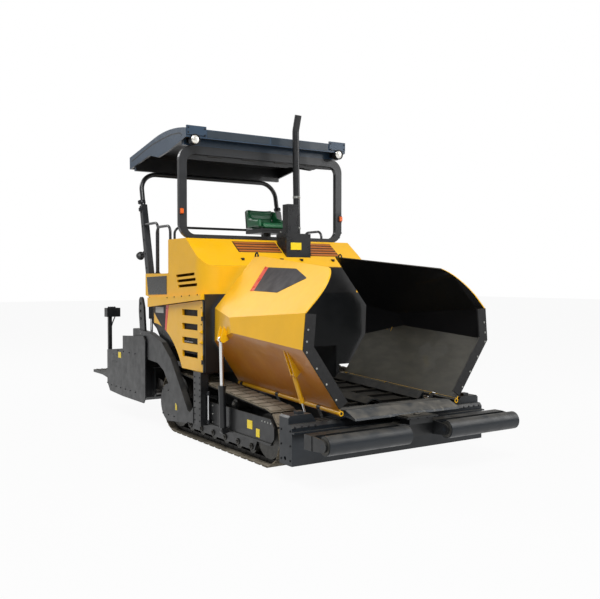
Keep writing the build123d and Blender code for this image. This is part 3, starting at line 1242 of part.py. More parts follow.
with BuildPart() as lift_rod:
    with Locations((LIFT_X, LIFT_Y, (LIFT_LOW_Z + 1780) / 2 + 10)):
        Cylinder(LIFT_ROD_R, 1780 - LIFT_LOW_Z - 20)
    with Locations(Location((LIFT_X, LIFT_Y, LIFT_LOW_Z), (0, 90, 0))):
        Cylinder(34, 40)
    with Locations(Location((LIFT_X, LIFT_Y, LIFT_LOW_Z), (0, 90, 0))):
        Cylinder(15 + SHAFT_GAP, 60, mode=Mode.SUBTRACT)
save_pair("lift_ram_rod", lift_rod)
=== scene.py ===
from math import atan2, cos, exp, pi, radians, sin

import bmesh
import bpy
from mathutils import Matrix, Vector
from mathutils.bvhtree import BVHTree


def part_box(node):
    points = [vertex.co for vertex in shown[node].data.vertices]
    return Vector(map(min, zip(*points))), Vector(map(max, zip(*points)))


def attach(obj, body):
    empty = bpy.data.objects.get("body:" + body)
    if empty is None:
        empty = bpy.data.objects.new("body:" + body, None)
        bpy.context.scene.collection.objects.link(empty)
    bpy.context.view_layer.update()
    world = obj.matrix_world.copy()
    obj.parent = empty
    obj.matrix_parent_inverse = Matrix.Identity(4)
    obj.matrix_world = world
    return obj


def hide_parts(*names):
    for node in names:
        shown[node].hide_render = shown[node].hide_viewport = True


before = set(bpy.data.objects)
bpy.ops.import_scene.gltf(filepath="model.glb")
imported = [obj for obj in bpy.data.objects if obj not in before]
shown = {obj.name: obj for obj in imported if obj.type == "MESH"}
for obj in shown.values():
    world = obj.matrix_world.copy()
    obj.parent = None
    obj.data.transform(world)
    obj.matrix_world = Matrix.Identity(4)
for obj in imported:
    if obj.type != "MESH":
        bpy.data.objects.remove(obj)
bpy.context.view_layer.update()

# ---- view and studio -----------------------------------------------------------------------------
# The machine is seen from its right front corner, at standing height and about ten metres off.
# It stands on a pale studio floor under broad soft lamps.
SHOWN_FLAT = 0.93          # how much of the backdrop the eye sees as plain flat colour
FLAT_STRENGTH = 1.04
LIT_GREY = 0.4             # what the lamps see of the floor, so that it throws little light back
FLOOR_REACH = 60
AIM_HEIGHT = 1.2           # the lamps point at this height over the middle of the machine
view_data = bpy.data.cameras.new("view")
view_data.lens = 47.24
view_data.sensor_width = 36
view_data.clip_end = 200
view = bpy.data.objects.new("view", view_data)
view.location = (-5.205, -8.737, 1.93)
view.rotation_euler = (radians(88.51), 0, radians(-33.27))
bpy.context.scene.collection.objects.link(view)
bpy.context.scene.camera = view
bpy.context.scene.view_settings.view_transform = "Standard"


def paint_hex(text):
    """Linear colour of an sRGB hex value such as "f2b21c"."""
    channels = [int(text[i:i + 2], 16) / 255 for i in (0, 2, 4)]
    return (*[c / 12.92 if c <= 0.04045 else ((c + 0.055) / 1.055) ** 2.4 for c in channels], 1)


def add_node(tree, kind, inputs=None, **settings):
    """Adds a shader or geometry node. Each input, by name or number, is a value or a socket to link."""
    made = tree.nodes.new(kind)
    for name, value in settings.items():
        setattr(made, name, value)
    for name, value in (inputs or {}).items():
        if isinstance(value, bpy.types.NodeSocket):
            tree.links.new(value, made.inputs[name])
        else:
            made.inputs[name].default_value = value
    return made


def blank_material(name):
    """A new material with an empty tree."""
    material = bpy.data.materials.new(name)
    material.use_nodes = True
    material.node_tree.nodes.clear()
    return material, material.node_tree


def backdrop_material(name, shade):
    """Shows as its own flat shade to the camera, in gloss and through glass, and takes soft shadows."""
    material, tree = blank_material(name)
    path = add_node(tree, "ShaderNodeLightPath")
    lit = add_node(tree, "ShaderNodeBsdfDiffuse", {"Color": (LIT_GREY, LIT_GREY, LIT_GREY, 1)})
    flat = add_node(tree, "ShaderNodeEmission", {"Color": (shade, shade, shade, 1), "Strength": FLAT_STRENGTH})
    mix = add_node(tree, "ShaderNodeMixShader", {0: 0.0, 1: lit.outputs[0], 2: flat.outputs[0]})
    eye = add_node(tree, "ShaderNodeMath", {0: path.outputs["Is Camera Ray"], 1: path.outputs["Is Glossy Ray"]},
                   operation="MAXIMUM")
    part = add_node(tree, "ShaderNodeMath", {0: eye.outputs[0], 1: SHOWN_FLAT}, operation="MULTIPLY")
    tree.links.new(part.outputs[0], mix.inputs[0])
    add_node(tree, "ShaderNodeOutputMaterial", {"Surface": mix.outputs[0]})
    return material


floor_mesh = bpy.data.meshes.new("studio_floor")
floor_mesh.from_pydata([(x * FLOOR_REACH, y * FLOOR_REACH, 0) for x, y in ((-1, -1), (1, -1), (1, 1), (-1, 1))],
                       [], [(0, 1, 2, 3)])
floor = bpy.data.objects.new("studio_floor", floor_mesh)
bpy.context.scene.collection.objects.link(floor)
floor_mesh.materials.append(backdrop_material("pale_floor_cloth", 0.97))

world = bpy.data.worlds.new("soft_studio")
bpy.context.scene.world = world
world.use_nodes = True
sky = world.node_tree
sky.nodes.clear()
ray = add_node(sky, "ShaderNodeLightPath")
seen = add_node(sky, "ShaderNodeMath", {0: ray.outputs["Is Camera Ray"], 1: ray.outputs["Is Transmission Ray"]},
                operation="MAXIMUM")
room = add_node(sky, "ShaderNodeBackground", {"Color": (1, 1, 1, 1), "Strength": 0.38})
wall = add_node(sky, "ShaderNodeBackground", {"Color": (1, 1, 1, 1), "Strength": 1.0})
sky_mix = add_node(sky, "ShaderNodeMixShader", {0: seen.outputs[0], 1: room.outputs[0], 2: wall.outputs[0]})
add_node(sky, "ShaderNodeOutputWorld", {"Surface": sky_mix.outputs[0]})

LAMPS = (
    # name, place, size in m, watts
    ("key_lamp", (-5, -10, 12), 6, 2000),
    ("fill_lamp", (9, -7, 7), 7, 450),
    ("back_lamp", (-6, 9, 10), 7, 900),
)
for lamp_name, place, lamp_size, watts in LAMPS:
    lamp_data = bpy.data.lights.new(lamp_name, "AREA")
    lamp_data.size = lamp_size
    lamp_data.energy = watts
    lamp = bpy.data.objects.new(lamp_name, lamp_data)
    lamp.location = place
    lamp.rotation_euler = (Vector((0, 0, AIM_HEIGHT)) - Vector(place)).to_track_quat("-Z", "Y").to_euler()
    bpy.context.scene.collection.objects.link(lamp)

# ---- paints and metals on the machine's own plates -----------------------------------------------
# Welded steel plate is shot blasted, primed and sprayed with two-pack enamel; working faces are
# left black or bare. Site dust settles on whatever faces up.
DUST = paint_hex("8d8577")
FINE_SKIN = 0.001          # height in m of the finest bumps


def blend_colour(tree, amount, first, second):
    """Mixes two colours, each a value or a socket, by an amount from 0 to 1."""
    mix = add_node(tree, "ShaderNodeMix", data_type="RGBA")
    for number, value in ((0, amount), (6, first), (7, second)):
        if isinstance(value, bpy.types.NodeSocket):
            tree.links.new(value, mix.inputs[number])
        else:
            mix.inputs[number].default_value = value
    return mix.outputs[2]


def ramp(tree, value, start, end, low=0.0, high=1.0):
    """Maps start..end of a socket onto low..high, and holds it beyond both."""
    return add_node(tree, "ShaderNodeMapRange", {0: value, 1: start, 2: end, 3: low, 4: high}).outputs[0]


def sums(tree, operation, first, second=0.0):
    """One sum of two sockets or numbers."""
    return add_node(tree, "ShaderNodeMath", {0: first, 1: second}, operation=operation).outputs[0]


def cloud(tree, place, size_mm, detail=4.0, stretch=(1, 1, 1)):
    """Noise whose blotches are about size_mm across."""
    spread = add_node(tree, "ShaderNodeMapping", {"Vector": place, "Scale": stretch})
    noise = add_node(tree, "ShaderNodeTexNoise",
                     {"Vector": spread.outputs[0], "Scale": 1000 / size_mm, "Detail": detail})
    return noise.outputs["Fac"]


def surface(name, colour, rough, metal=0.0, mottle=0.1, mottle_mm=300, peel=0.1, peel_mm=4, dust=0.0,
            coat=0.0, over=None):
    """One finish: toned in soft blotches, with a fine skin, and dust where it faces up.

    Real orange peel and grit are about 1 mm across. They are drawn at peel_mm, coarse enough to show.
    """
    material, tree = blank_material(name)
    coords = add_node(tree, "ShaderNodeTexCoord")
    place = coords.outputs["Object"]
    facing = add_node(tree, "ShaderNodeSeparateXYZ", {0: coords.outputs["Normal"]})
    blotch = cloud(tree, place, mottle_mm)
    tone = ramp(tree, blotch, 0.3, 0.7, 1 - mottle, 1 + mottle)
    toned = add_node(tree, "ShaderNodeVectorMath", {0: paint_hex(colour)[:3], "Scale": tone},
                     operation="SCALE").outputs[0]
    roughness = ramp(tree, cloud(tree, place, mottle_mm / 3), 0.3, 0.7,
                     max(rough - 0.07, 0.04), min(rough + 0.07, 1))
    if over:
        toned, roughness = over(tree, place, facing, toned, roughness)
    if dust:
        lies = ramp(tree, facing.outputs["Z"], 0.25, 0.95, 0.0, dust)
        lies = sums(tree, "MULTIPLY", lies, ramp(tree, cloud(tree, place, 140, 6.0), 0.35, 0.62, 0.25, 1.0))
        toned = blend_colour(tree, lies, toned, DUST)
        roughness = sums(tree, "MAXIMUM", roughness, ramp(tree, lies, 0.0, 0.5, 0.0, 0.8))
    skin = add_node(tree, "ShaderNodeBump",
                    {"Height": cloud(tree, place, peel_mm, 2.0), "Strength": peel, "Distance": FINE_SKIN})
    shader = add_node(tree, "ShaderNodeBsdfPrincipled",
                      {"Base Color": toned, "Roughness": roughness, "Metallic": metal,
                       "Normal": skin.outputs[0], "Coat Weight": coat})
    add_node(tree, "ShaderNodeOutputMaterial", {"Surface": shader.outputs[0]})
    return material


def painted_underside_shade(tree, place, facing, colour, rough):
    """Painted shade: the enamel is blended towards orange brown, in soft patches, wherever it faces down."""
    film = ramp(tree, facing.outputs["Z"], -0.2, -0.55, 0.0, 0.85)
    film = sums(tree, "MULTIPLY", film, ramp(tree, cloud(tree, place, 350, 4.0), 0.3, 0.7, 0.8, 1.0))
    return blend_colour(tree, film, colour, paint_hex("a65000")), rough


def scuffed_floor(tree, place, facing, colour, rough):
    """Yellow outside, with painted orange-brown shade where it faces down. Inside it is black, and olive grey with drag
    marks where the mix slides down.
    """
    where = add_node(tree, "ShaderNodeSeparateXYZ", {0: place})
    side = sums(tree, "SIGN", where.outputs["X"])
    inside = ramp(tree, sums(tree, "MULTIPLY", facing.outputs["X"], side), -0.05, -0.2)
    slide = ramp(tree, facing.outputs["Z"], 0.3, 0.4)
    drag = ramp(tree, cloud(tree, place, 90, 6.0, (1, 0.35, 1)), 0.42, 0.62)
    lining = blend_colour(tree, sums(tree, "MULTIPLY", slide, ramp(tree, drag, 0, 1, 0.7, 1.0)),
                          paint_hex("0c0c0e"), paint_hex("3a3830"))
    colour, rough = painted_underside_shade(tree, place, facing, colour, rough)
    return (blend_colour(tree, inside, colour, lining),
            sums(tree, "MAXIMUM", rough, ramp(tree, inside, 0, 1, 0.0, 0.42)))


ROOF_MIDDLE_Y = 0.75


def black_below_and_inward(tree, place, facing, colour, rough):
    """Slate outside; every face that looks down or inwards is black."""
    where = add_node(tree, "ShaderNodeSeparateXYZ", {0: place})
    behind = sums(tree, "SUBTRACT", where.outputs["Y"], ROOF_MIDDLE_Y)
    inward_x = sums(tree, "MULTIPLY", facing.outputs["X"], sums(tree, "SIGN", where.outputs["X"]))
    inward_y = sums(tree, "MULTIPLY", facing.outputs["Y"], sums(tree, "SIGN", behind))
    least = sums(tree, "MINIMUM", sums(tree, "MINIMUM", inward_x, inward_y), facing.outputs["Z"])
    return blend_colour(tree, ramp(tree, least, -0.25, -0.35), colour, paint_hex("0c0d0f")), rough


def drag_marks(tree, place, facing, colour, rough):
    """Long bright scrapes where plates are rubbed bare by the mix."""
    scrape = ramp(tree, cloud(tree, place, 60, 8.0, (1, 0.12, 1)), 0.60, 0.74, 0.0, 0.6)
    return blend_colour(tree, scrape, colour, paint_hex("77756d")), rough


# two-pack enamel on plate: glossy and warm, with the faint orange peel of a spray gun, and painted orange-brown shade
# wherever it faces down
yellow_enamel = surface("yellow_enamel_sprayed", "e9b006", 0.36, mottle=0.04, dust=0.06, coat=0.2,
                        over=painted_underside_shade)
# the same enamel on the hopper's wings, rubbed black and olive grey inside by the mix, with the same painted shade
# outside where it faces down
hopper_enamel = surface("yellow_enamel_with_black_lining", "e9b006", 0.36, mottle=0.04, dust=0.04, coat=0.2,
                        over=scuffed_floor)
# half-gloss charcoal enamel that takes dust on ledges
charcoal_enamel = surface("charcoal_enamel_sprayed", "0d0f11", 0.42, mottle=0.14, dust=0.12, coat=0.1)
# the same paint on bent tube: a clearer line of gloss along the bends
hoop_enamel = surface("charcoal_enamel_on_tube", "1d1f22", 0.38, mottle=0.08, dust=0.1, coat=0.2)
# blue-grey enamel on the beam and rollers, dulled by dust
slate_enamel = surface("slate_blue_enamel_sprayed", "151b21", 0.42, mottle=0.1, dust=0.18)
# moulded glass fibre: smooth and even, with a soft sheen and a black underside
canopy_skin = surface("slate_blue_moulded_roof", "24394d", 0.4, mottle=0.06, peel=0.05, dust=0.06, coat=0.15,
                      over=black_below_and_inward)
# painted plate scraped bright in long streaks
apron_plate = surface("slate_plate_dragged_by_mix", "262d34", 0.45, mottle=0.12, dust=0.35, over=drag_marks)
# bare working steel: dull, streaked and dusty
bare_steel = surface("bare_steel_worn", "4b4a47", 0.5, metal=0.75, mottle=0.25, mottle_mm=80, peel=0.3, dust=0.4)
# hard pads under a pale, matt crust of dust
pad_steel = surface("track_pad_steel_caked_with_dust", "6a6253", 0.8, metal=0.1, mottle=0.3, mottle_mm=60,
                    peel=0.6, peel_mm=9, dust=0.85)
# forged links, nearly black with oil
chain_steel = surface("forged_chain_oiled", "1c1b1a", 0.45, metal=0.7, mottle=0.3, mottle_mm=50, peel=0.3,
                      dust=0.3)
# ground chrome: bright, with sharp reflections drawn out along the rod
chrome_rod = surface("hard_chrome_ground", "e6e7e8", 0.3, metal=1.0, mottle=0.03, peel=0.02)
# zinc plate: pale grey, softly shiny
zinc_fixing = surface("zinc_plated_steel", "a9aaa6", 0.35, metal=0.9, mottle=0.12, mottle_mm=20, peel=0.1)
# phosphate on steel: dark grey, faintly metallic
black_fixing = surface("phosphated_steel", "26272a", 0.45, metal=0.6, mottle=0.15, mottle_mm=20, peel=0.1)
# calendered rubber: matt black with a fine grain
rubber_sheet = surface("rubber_sheet_calendered", "141415", 0.75, mottle=0.15, mottle_mm=120, peel=0.4,
                       peel_mm=6, dust=0.3)
# sand casting under paint: matt grey and pitted
engine_iron = surface("cast_iron_sprayed_grey", "3a3c3d", 0.6, mottle=0.2, peel=0.6, peel_mm=8, dust=0.3)
# stove enamel that stands heat: deep black, half gloss
stack_black = surface("heat_proof_black_on_steel", "151618", 0.3, mottle=0.12, peel=0.1, dust=0.1, coat=0.2)
# polished acrylic: near black and mirror smooth
smoked_cover = surface("black_polished_cover", "232320", 0.25, mottle=0.2, mottle_mm=500, peel=0.05, coat=0.4)

CAD_FINISHES = (
    (yellow_enamel, ("engine_hood", "body_ledges", "side_boxes", "side_door_left", "side_door_right",
                     "wing_stay_barrel_left", "wing_stay_barrel_right")),
    (hopper_enamel, ("wing_left", "wing_right")),
    (charcoal_enamel, ("track_frame_left", "track_frame_right", "chassis", "tow_columns", "drive_guards",
                       "roller_beam", "tow_arm_left", "tow_arm_right", "tank_body", "conveyor_covers",
                       "auger_bracket", "screed_main", "screed_extension_left", "screed_extension_right",
                       "hopper_rear_wall", "control_console", "seat_base", "wing_ram_barrel_left",
                       "wing_ram_barrel_right", "lift_ram_barrel_left", "lift_ram_barrel_right")),
    (hoop_enamel, ("front_hoop", "rear_hoop", "handrails")),
    (slate_enamel, ("bumper_beam", "push_roller_left", "push_roller_right")),
    (canopy_skin, ("canopy",)),
    (apron_plate, ("hopper_apron",)),
    (bare_steel, ("track_wheels", "conveyor_shafts", "operator_deck")),
    (chain_steel, ("conveyor_left", "conveyor_right")),
    (chrome_rod, ("wing_ram_rod_left", "wing_ram_rod_right", "wing_stay_rod_left", "wing_stay_rod_right",
                  "lift_ram_rod_left", "lift_ram_rod_right")),
    (rubber_sheet, ("wing_flap_left", "wing_flap_right")),
    (engine_iron, ("engine_block",)),
    (stack_black, ("exhaust_stack",)),
    (black_fixing, ("canopy_lamps",)),
)
for finish, node_names in CAD_FINISHES:
    for node_name in node_names:
        holder = shown[node_name].data.materials
        if holder:
            for number in range(len(holder)):
                holder[number] = finish
        else:
            holder.append(finish)

# ---- crawler tracks ------------------------------------------------------------------------------
# Steel shoes, each with two raised pads and four bolts, sit on a roller chain that runs round the
# idler in front and the drive wheel behind. The chain is forged and oiled; pale dust cakes the pads.
IDLER_Y, IDLER_R = -1.815, 0.310
DRIVER_Y, DRIVER_R = 0.380, 0.400
PADS = 42
PITCH_INSET = 0.052        # from the pads' treads in to the chain's pins
TRACK_X = 0.955
PAD_HALF_WIDTH = 0.150
SHARP_EDGE = 35            # degrees between two faces past which the edge between them reads as sharp
SIDES = (("left", 1), ("right", -1))     # the machine's own left is towards +x
UP, ACROSS = (0, 0, 1), (1, 0, 0)


def prism(bm, ring, push):
    """A closed prism: a flat ring of points, pushed along a vector."""
    near = [bm.verts.new(point) for point in ring]
    far = [bm.verts.new(Vector(point) + Vector(push)) for point in ring]
    bm.faces.new(near)
    bm.faces.new(far[::-1])
    for i in range(len(ring)):
        bm.faces.new((near[i], far[i], far[i - 1], near[i - 1]))


def block(bm, low, high, cut):
    """A block along the axes whose edges along x are cut back."""
    (x0, y0, z0), (x1, y1, z1) = low, high
    ring = [(x0, y0 + cut, z0), (x0, y1 - cut, z0), (x0, y1, z0 + cut), (x0, y1, z1 - cut),
            (x0, y1 - cut, z1), (x0, y0 + cut, z1), (x0, y0, z1 - cut), (x0, y0, z0 + cut)]
    prism(bm, ring, (x1 - x0, 0, 0))


def turned(bm, base, axis, profile, steps=20):
    """A turned part: profile holds (distance along the axis, radius) from one end to the other."""
    axis = Vector(axis).normalized()
    side = axis.orthogonal().normalized()
    other = axis.cross(side)
    rings = []
    spokes = [side * cos(2 * pi * i / steps) + other * sin(2 * pi * i / steps) for i in range(steps)]
    for distance, radius in profile:
        middle = Vector(base) + axis * distance
        rings.append([bm.verts.new(middle + spoke * radius) for spoke in spokes])
    for first, second in zip(rings, rings[1:]):
        for i in range(steps):
            bm.faces.new((first[i - 1], first[i], second[i], second[i - 1]))
    bm.faces.new(rings[0][::-1])
    bm.faces.new(rings[-1])


def finished(name, bm, material, body, slot_name, *stands_for):
    """Makes a piece of the mesh, at the origin, sets it on the body it rides on, and hides the parts it stands for."""
    bmesh.ops.recalc_face_normals(bm, faces=bm.faces)
    mesh = bpy.data.meshes.new(name)
    bm.to_mesh(mesh)
    bm.free()
    return placed(name, mesh, material, body, slot_name, *stands_for)


def placed(name, mesh, material, body, slot_name, *stands_for):
    """Puts a finished mesh in the scene, smooth but for its sharp edges, on its body."""
    mesh.shade_smooth()
    mesh.set_sharp_from_angle(angle=radians(SHARP_EDGE))
    mesh.materials.clear()
    mesh.materials.append(material)
    piece = bpy.data.objects.new(name, mesh)
    bpy.context.scene.collection.objects.link(piece)
    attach(piece, body)
    if stands_for:
        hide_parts(*stands_for)
    return piece


POINT_VALUES = ("facing", "along", "size")


def setting_tree():
    """Geometry nodes that set one part on every point, turned to the point's facing and along, at its size."""
    tree = bpy.data.node_groups.new("set_parts_on_points", "GeometryNodeTree")
    for label, kind in (("Points", "Geometry"), ("Part", "Object"), ("Finish", "Material"),
                        ("Turn Spread", "Float"), ("Seed", "Int")):
        tree.interface.new_socket(label, in_out="INPUT", socket_type="NodeSocket" + kind)
    tree.interface.new_socket("Geometry", in_out="OUTPUT", socket_type="NodeSocketGeometry")
    given = add_node(tree, "NodeGroupInput")
    axes = [add_node(tree, "GeometryNodeInputNamedAttribute", {"Name": label}, data_type="FLOAT_VECTOR").outputs[0]
            for label in POINT_VALUES]
    turn = add_node(tree, "FunctionNodeAxesToRotation", {0: axes[0], 1: axes[1]}, primary_axis="Z",
                    secondary_axis="X")
    part = add_node(tree, "GeometryNodeObjectInfo", {"Object": given.outputs["Part"]})
    minus = add_node(tree, "ShaderNodeMath", {0: given.outputs["Turn Spread"], 1: -1.0}, operation="MULTIPLY")
    chance = add_node(tree, "FunctionNodeRandomValue", {"Seed": given.outputs["Seed"]}, data_type="FLOAT")
    tree.links.new(minus.outputs[0], chance.inputs[2])
    tree.links.new(given.outputs["Turn Spread"], chance.inputs[3])
    spin = add_node(tree, "FunctionNodeAxisAngleToRotation", {"Axis": (0, 0, 1), "Angle": chance.outputs[1]})
    both = add_node(tree, "FunctionNodeRotateRotation", {0: turn.outputs[0], 1: spin.outputs[0]},
                    rotation_space="LOCAL")
    spots = add_node(tree, "GeometryNodeMeshToPoints", {"Mesh": given.outputs["Points"]})
    sets = add_node(tree, "GeometryNodeInstanceOnPoints",
                    {"Points": spots.outputs[0], "Instance": part.outputs["Geometry"], "Rotation": both.outputs[0],
                     "Scale": axes[2]})
    real = add_node(tree, "GeometryNodeRealizeInstances", {0: sets.outputs[0]})
    coat = add_node(tree, "GeometryNodeSetMaterial",
                    {"Geometry": real.outputs[0], "Material": given.outputs["Finish"]})
    add_node(tree, "NodeGroupOutput", {0: coat.outputs[0]})
    return tree


SETTING_TREE = setting_tree()


def set_on(name, part_bm, spots, material, body, slot_name, *stands_for, spread=0.0, seed=1):
    """Repeats a small part, its foot at the origin and its head along z, over (place, facing, along, size)."""
    bmesh.ops.recalc_face_normals(part_bm, faces=part_bm.faces)
    part_mesh = bpy.data.meshes.new(name + "_part")
    part_bm.to_mesh(part_mesh)
    part = bpy.data.objects.new(name + "_part", part_mesh)
    points = bpy.data.meshes.new(name + "_points")
    points.from_pydata([spot[0] for spot in spots], [], [])
    for number, label in enumerate(POINT_VALUES, 1):
        held = points.attributes.new(label, "FLOAT_VECTOR", "POINT")
        held.data.foreach_set("vector", [c for spot in spots for c in (*spot, (1, 1, 1))[number]])
    holder = bpy.data.objects.new(name + "_holder", points)
    bpy.context.scene.collection.objects.link(holder)
    work = holder.modifiers.new("set", "NODES")
    work.node_group = SETTING_TREE
    values = {"Part": part, "Finish": material, "Turn Spread": spread, "Seed": seed}
    for item in SETTING_TREE.interface.items_tree:
        if item.in_out == "INPUT" and item.name in values:
            work[item.identifier] = values[item.name]
    holder.update_tag()
    bpy.context.view_layer.update()
    graph = bpy.context.evaluated_depsgraph_get()
    mesh = bpy.data.meshes.new_from_object(holder.evaluated_get(graph))
    mesh.name = name
    holder.modifiers.remove(work)
    for spent in (holder, part):
        bpy.data.objects.remove(spent)
    for attribute in [a for a in mesh.attributes if a.name in POINT_VALUES]:
        mesh.attributes.remove(attribute)
    part_bm.free()
    return placed(name, mesh, material, body, slot_name, *stands_for)


def track_stations(x, rise):
    """Even stations round the loop, raised outwards from the chain's pins."""
    idler = Vector((x, IDLER_Y, IDLER_R))
    driver = Vector((x, DRIVER_Y, DRIVER_R))
    slope = 2 * atan2(DRIVER_R - IDLER_R, DRIVER_Y - IDLER_Y)
    straight = driver.y - idler.y
    driver_r, idler_r = DRIVER_R - PITCH_INSET, IDLER_R - PITCH_INSET
    spans = (straight, driver_r * (pi + slope), straight, idler_r * (pi - slope))
    stations = []
    for i in range(PADS):
        run = sum(spans) * i / PADS
        leg = 0
        while run > spans[leg]:
            run -= spans[leg]
            leg += 1
        if leg == 0:
            angle, hub, radius, slide = -pi / 2, idler, idler_r, run
        elif leg == 1:
            angle, hub, radius, slide = -pi / 2 + run / driver_r, driver, driver_r, 0
        elif leg == 2:
            angle, hub, radius, slide = pi / 2 + slope, driver, driver_r, run
        else:
            angle, hub, radius, slide = pi / 2 + slope + run / idler_r, idler, idler_r, 0
        facing = Vector((0, cos(angle), sin(angle)))
        along = Vector((0, -sin(angle), cos(angle)))
        stations.append((hub + facing * (radius + rise) + along * slide, facing, along))
    return stations


for side, s in SIDES:
    pad = bmesh.new()
    prism(pad, [(-0.074, -PAD_HALF_WIDTH, -0.022), (0.074, -PAD_HALF_WIDTH, -0.022),
                (0.078, -PAD_HALF_WIDTH, -0.012), (-0.078, -PAD_HALF_WIDTH, -0.012)], (0, 2 * PAD_HALF_WIDTH, 0))
    for low, high in ((-0.145, -0.006), (0.006, 0.145)):
        prism(pad, [(-0.056, low, -0.013), (0.056, low, -0.013), (0.056, low, -0.004), (0.050, low, 0.0),
                    (-0.050, low, 0.0), (-0.056, low, -0.004)], (0, high - low, 0))
    for bolt_y in (-0.1475, 0.1475):
        for bolt_x in (-0.030, 0.030):
            turned(pad, (bolt_x, bolt_y, -0.013), UP, ((0, 0.009), (0.006, 0.008)), 6)
    stations = track_stations(s * TRACK_X, PITCH_INSET)
    set_on(f"track_pads_{side}", pad, stations, pad_steel, "tractor", "track_steel",
           f"track_{side}")
    link = bmesh.new()
    for plate_y, reach in ((-0.062, 0.0), (-0.046, 0.006), (0.046, 0.006), (0.062, 0.0)):
        prism(link, [(x, plate_y - 0.005, z) for x, z in
                     ((-0.086 + reach, -0.012), (-0.074, -0.022), (0.074, -0.022), (0.086 - reach, -0.012),
                      (0.086 - reach, 0.010), (0.060, 0.028), (-0.060, 0.028), (-0.086 + reach, 0.010))],
              (0, 0.010, 0))
    turned(link, (0.072, -0.070, -0.004), (0, 1, 0), ((0, 0.012), (0.003, 0.014), (0.137, 0.014), (0.140, 0.012)), 10)
    set_on(f"track_chain_{side}", link, track_stations(s * TRACK_X, 0.0), chain_steel, "tractor",
           "track_steel", f"track_{side}")

# ---- wheel hubs in the tracks --------------------------------------------------------------------
# Rollers, idler and drive wheel turn on greased hubs. Each hub is closed by a stepped cap of turned
# steel, pressed in, bare and dusty.
HUB_X = 1.060
HUBS = (
    # y, z, cap radius
    (IDLER_Y, IDLER_R, 0.085), (DRIVER_Y, DRIVER_R, 0.110),
    *[(-1.48 + i * 0.298, 0.150, 0.036) for i in range(6)], (-1.10, 0.545, 0.030), (-0.35, 0.575, 0.030),
)
for side, s in SIDES:
    cap = bmesh.new()
    turned(cap, (0, 0, 0), UP,
           ((0, 1), (0.010, 1), (0.014, 0.9), (0.016, 0.55), (0.026, 0.45), (0.028, 0.3)), 24)
    set_on(f"hub_caps_{side}", cap, [((s * HUB_X, y, z), (s, 0, 0), (0, 1, 0), (radius, radius, 1))
                                     for y, z, radius in HUBS], bare_steel, "tractor", "track_steel")

# ---- bolts ---------------------------------------------------------------------------------------
# Bolted joints that show: zinc-plated or black hexagon bolts on washers, in even rows. Rows are
# given by their two ends and how many there are, and sit on the nearest plate.
GRAPH = bpy.context.evaluated_depsgraph_get()
SKINS = {}


def hex_head(size):
    """A hexagon bolt head on its washer, sunk a little into what it holds."""
    bolt = bmesh.new()
    turned(bolt, (0, 0, -0.002), UP, ((0, size * 0.95), (0.0045, size * 0.95)), 14)
    turned(bolt, (0, 0, 0.002), UP, ((0, size * 0.62), (size * 0.42, size * 0.62), (size * 0.5, size * 0.5)), 6)
    return bolt


def nearest(node, point):
    """The nearest spot of a plate's surface to a point, and its facing."""
    if node not in SKINS:
        SKINS[node] = BVHTree.FromObject(shown[node], GRAPH)
    return SKINS[node].find_nearest(Vector(point))[:2]


def bolt_row(node, start, end, count):
    """Even spots from start to end, each on the nearest surface of a plate."""
    start, end = Vector(start), Vector(end)
    return [(*nearest(node, start.lerp(end, i / (count - 1))), end - start) for i in range(count)]


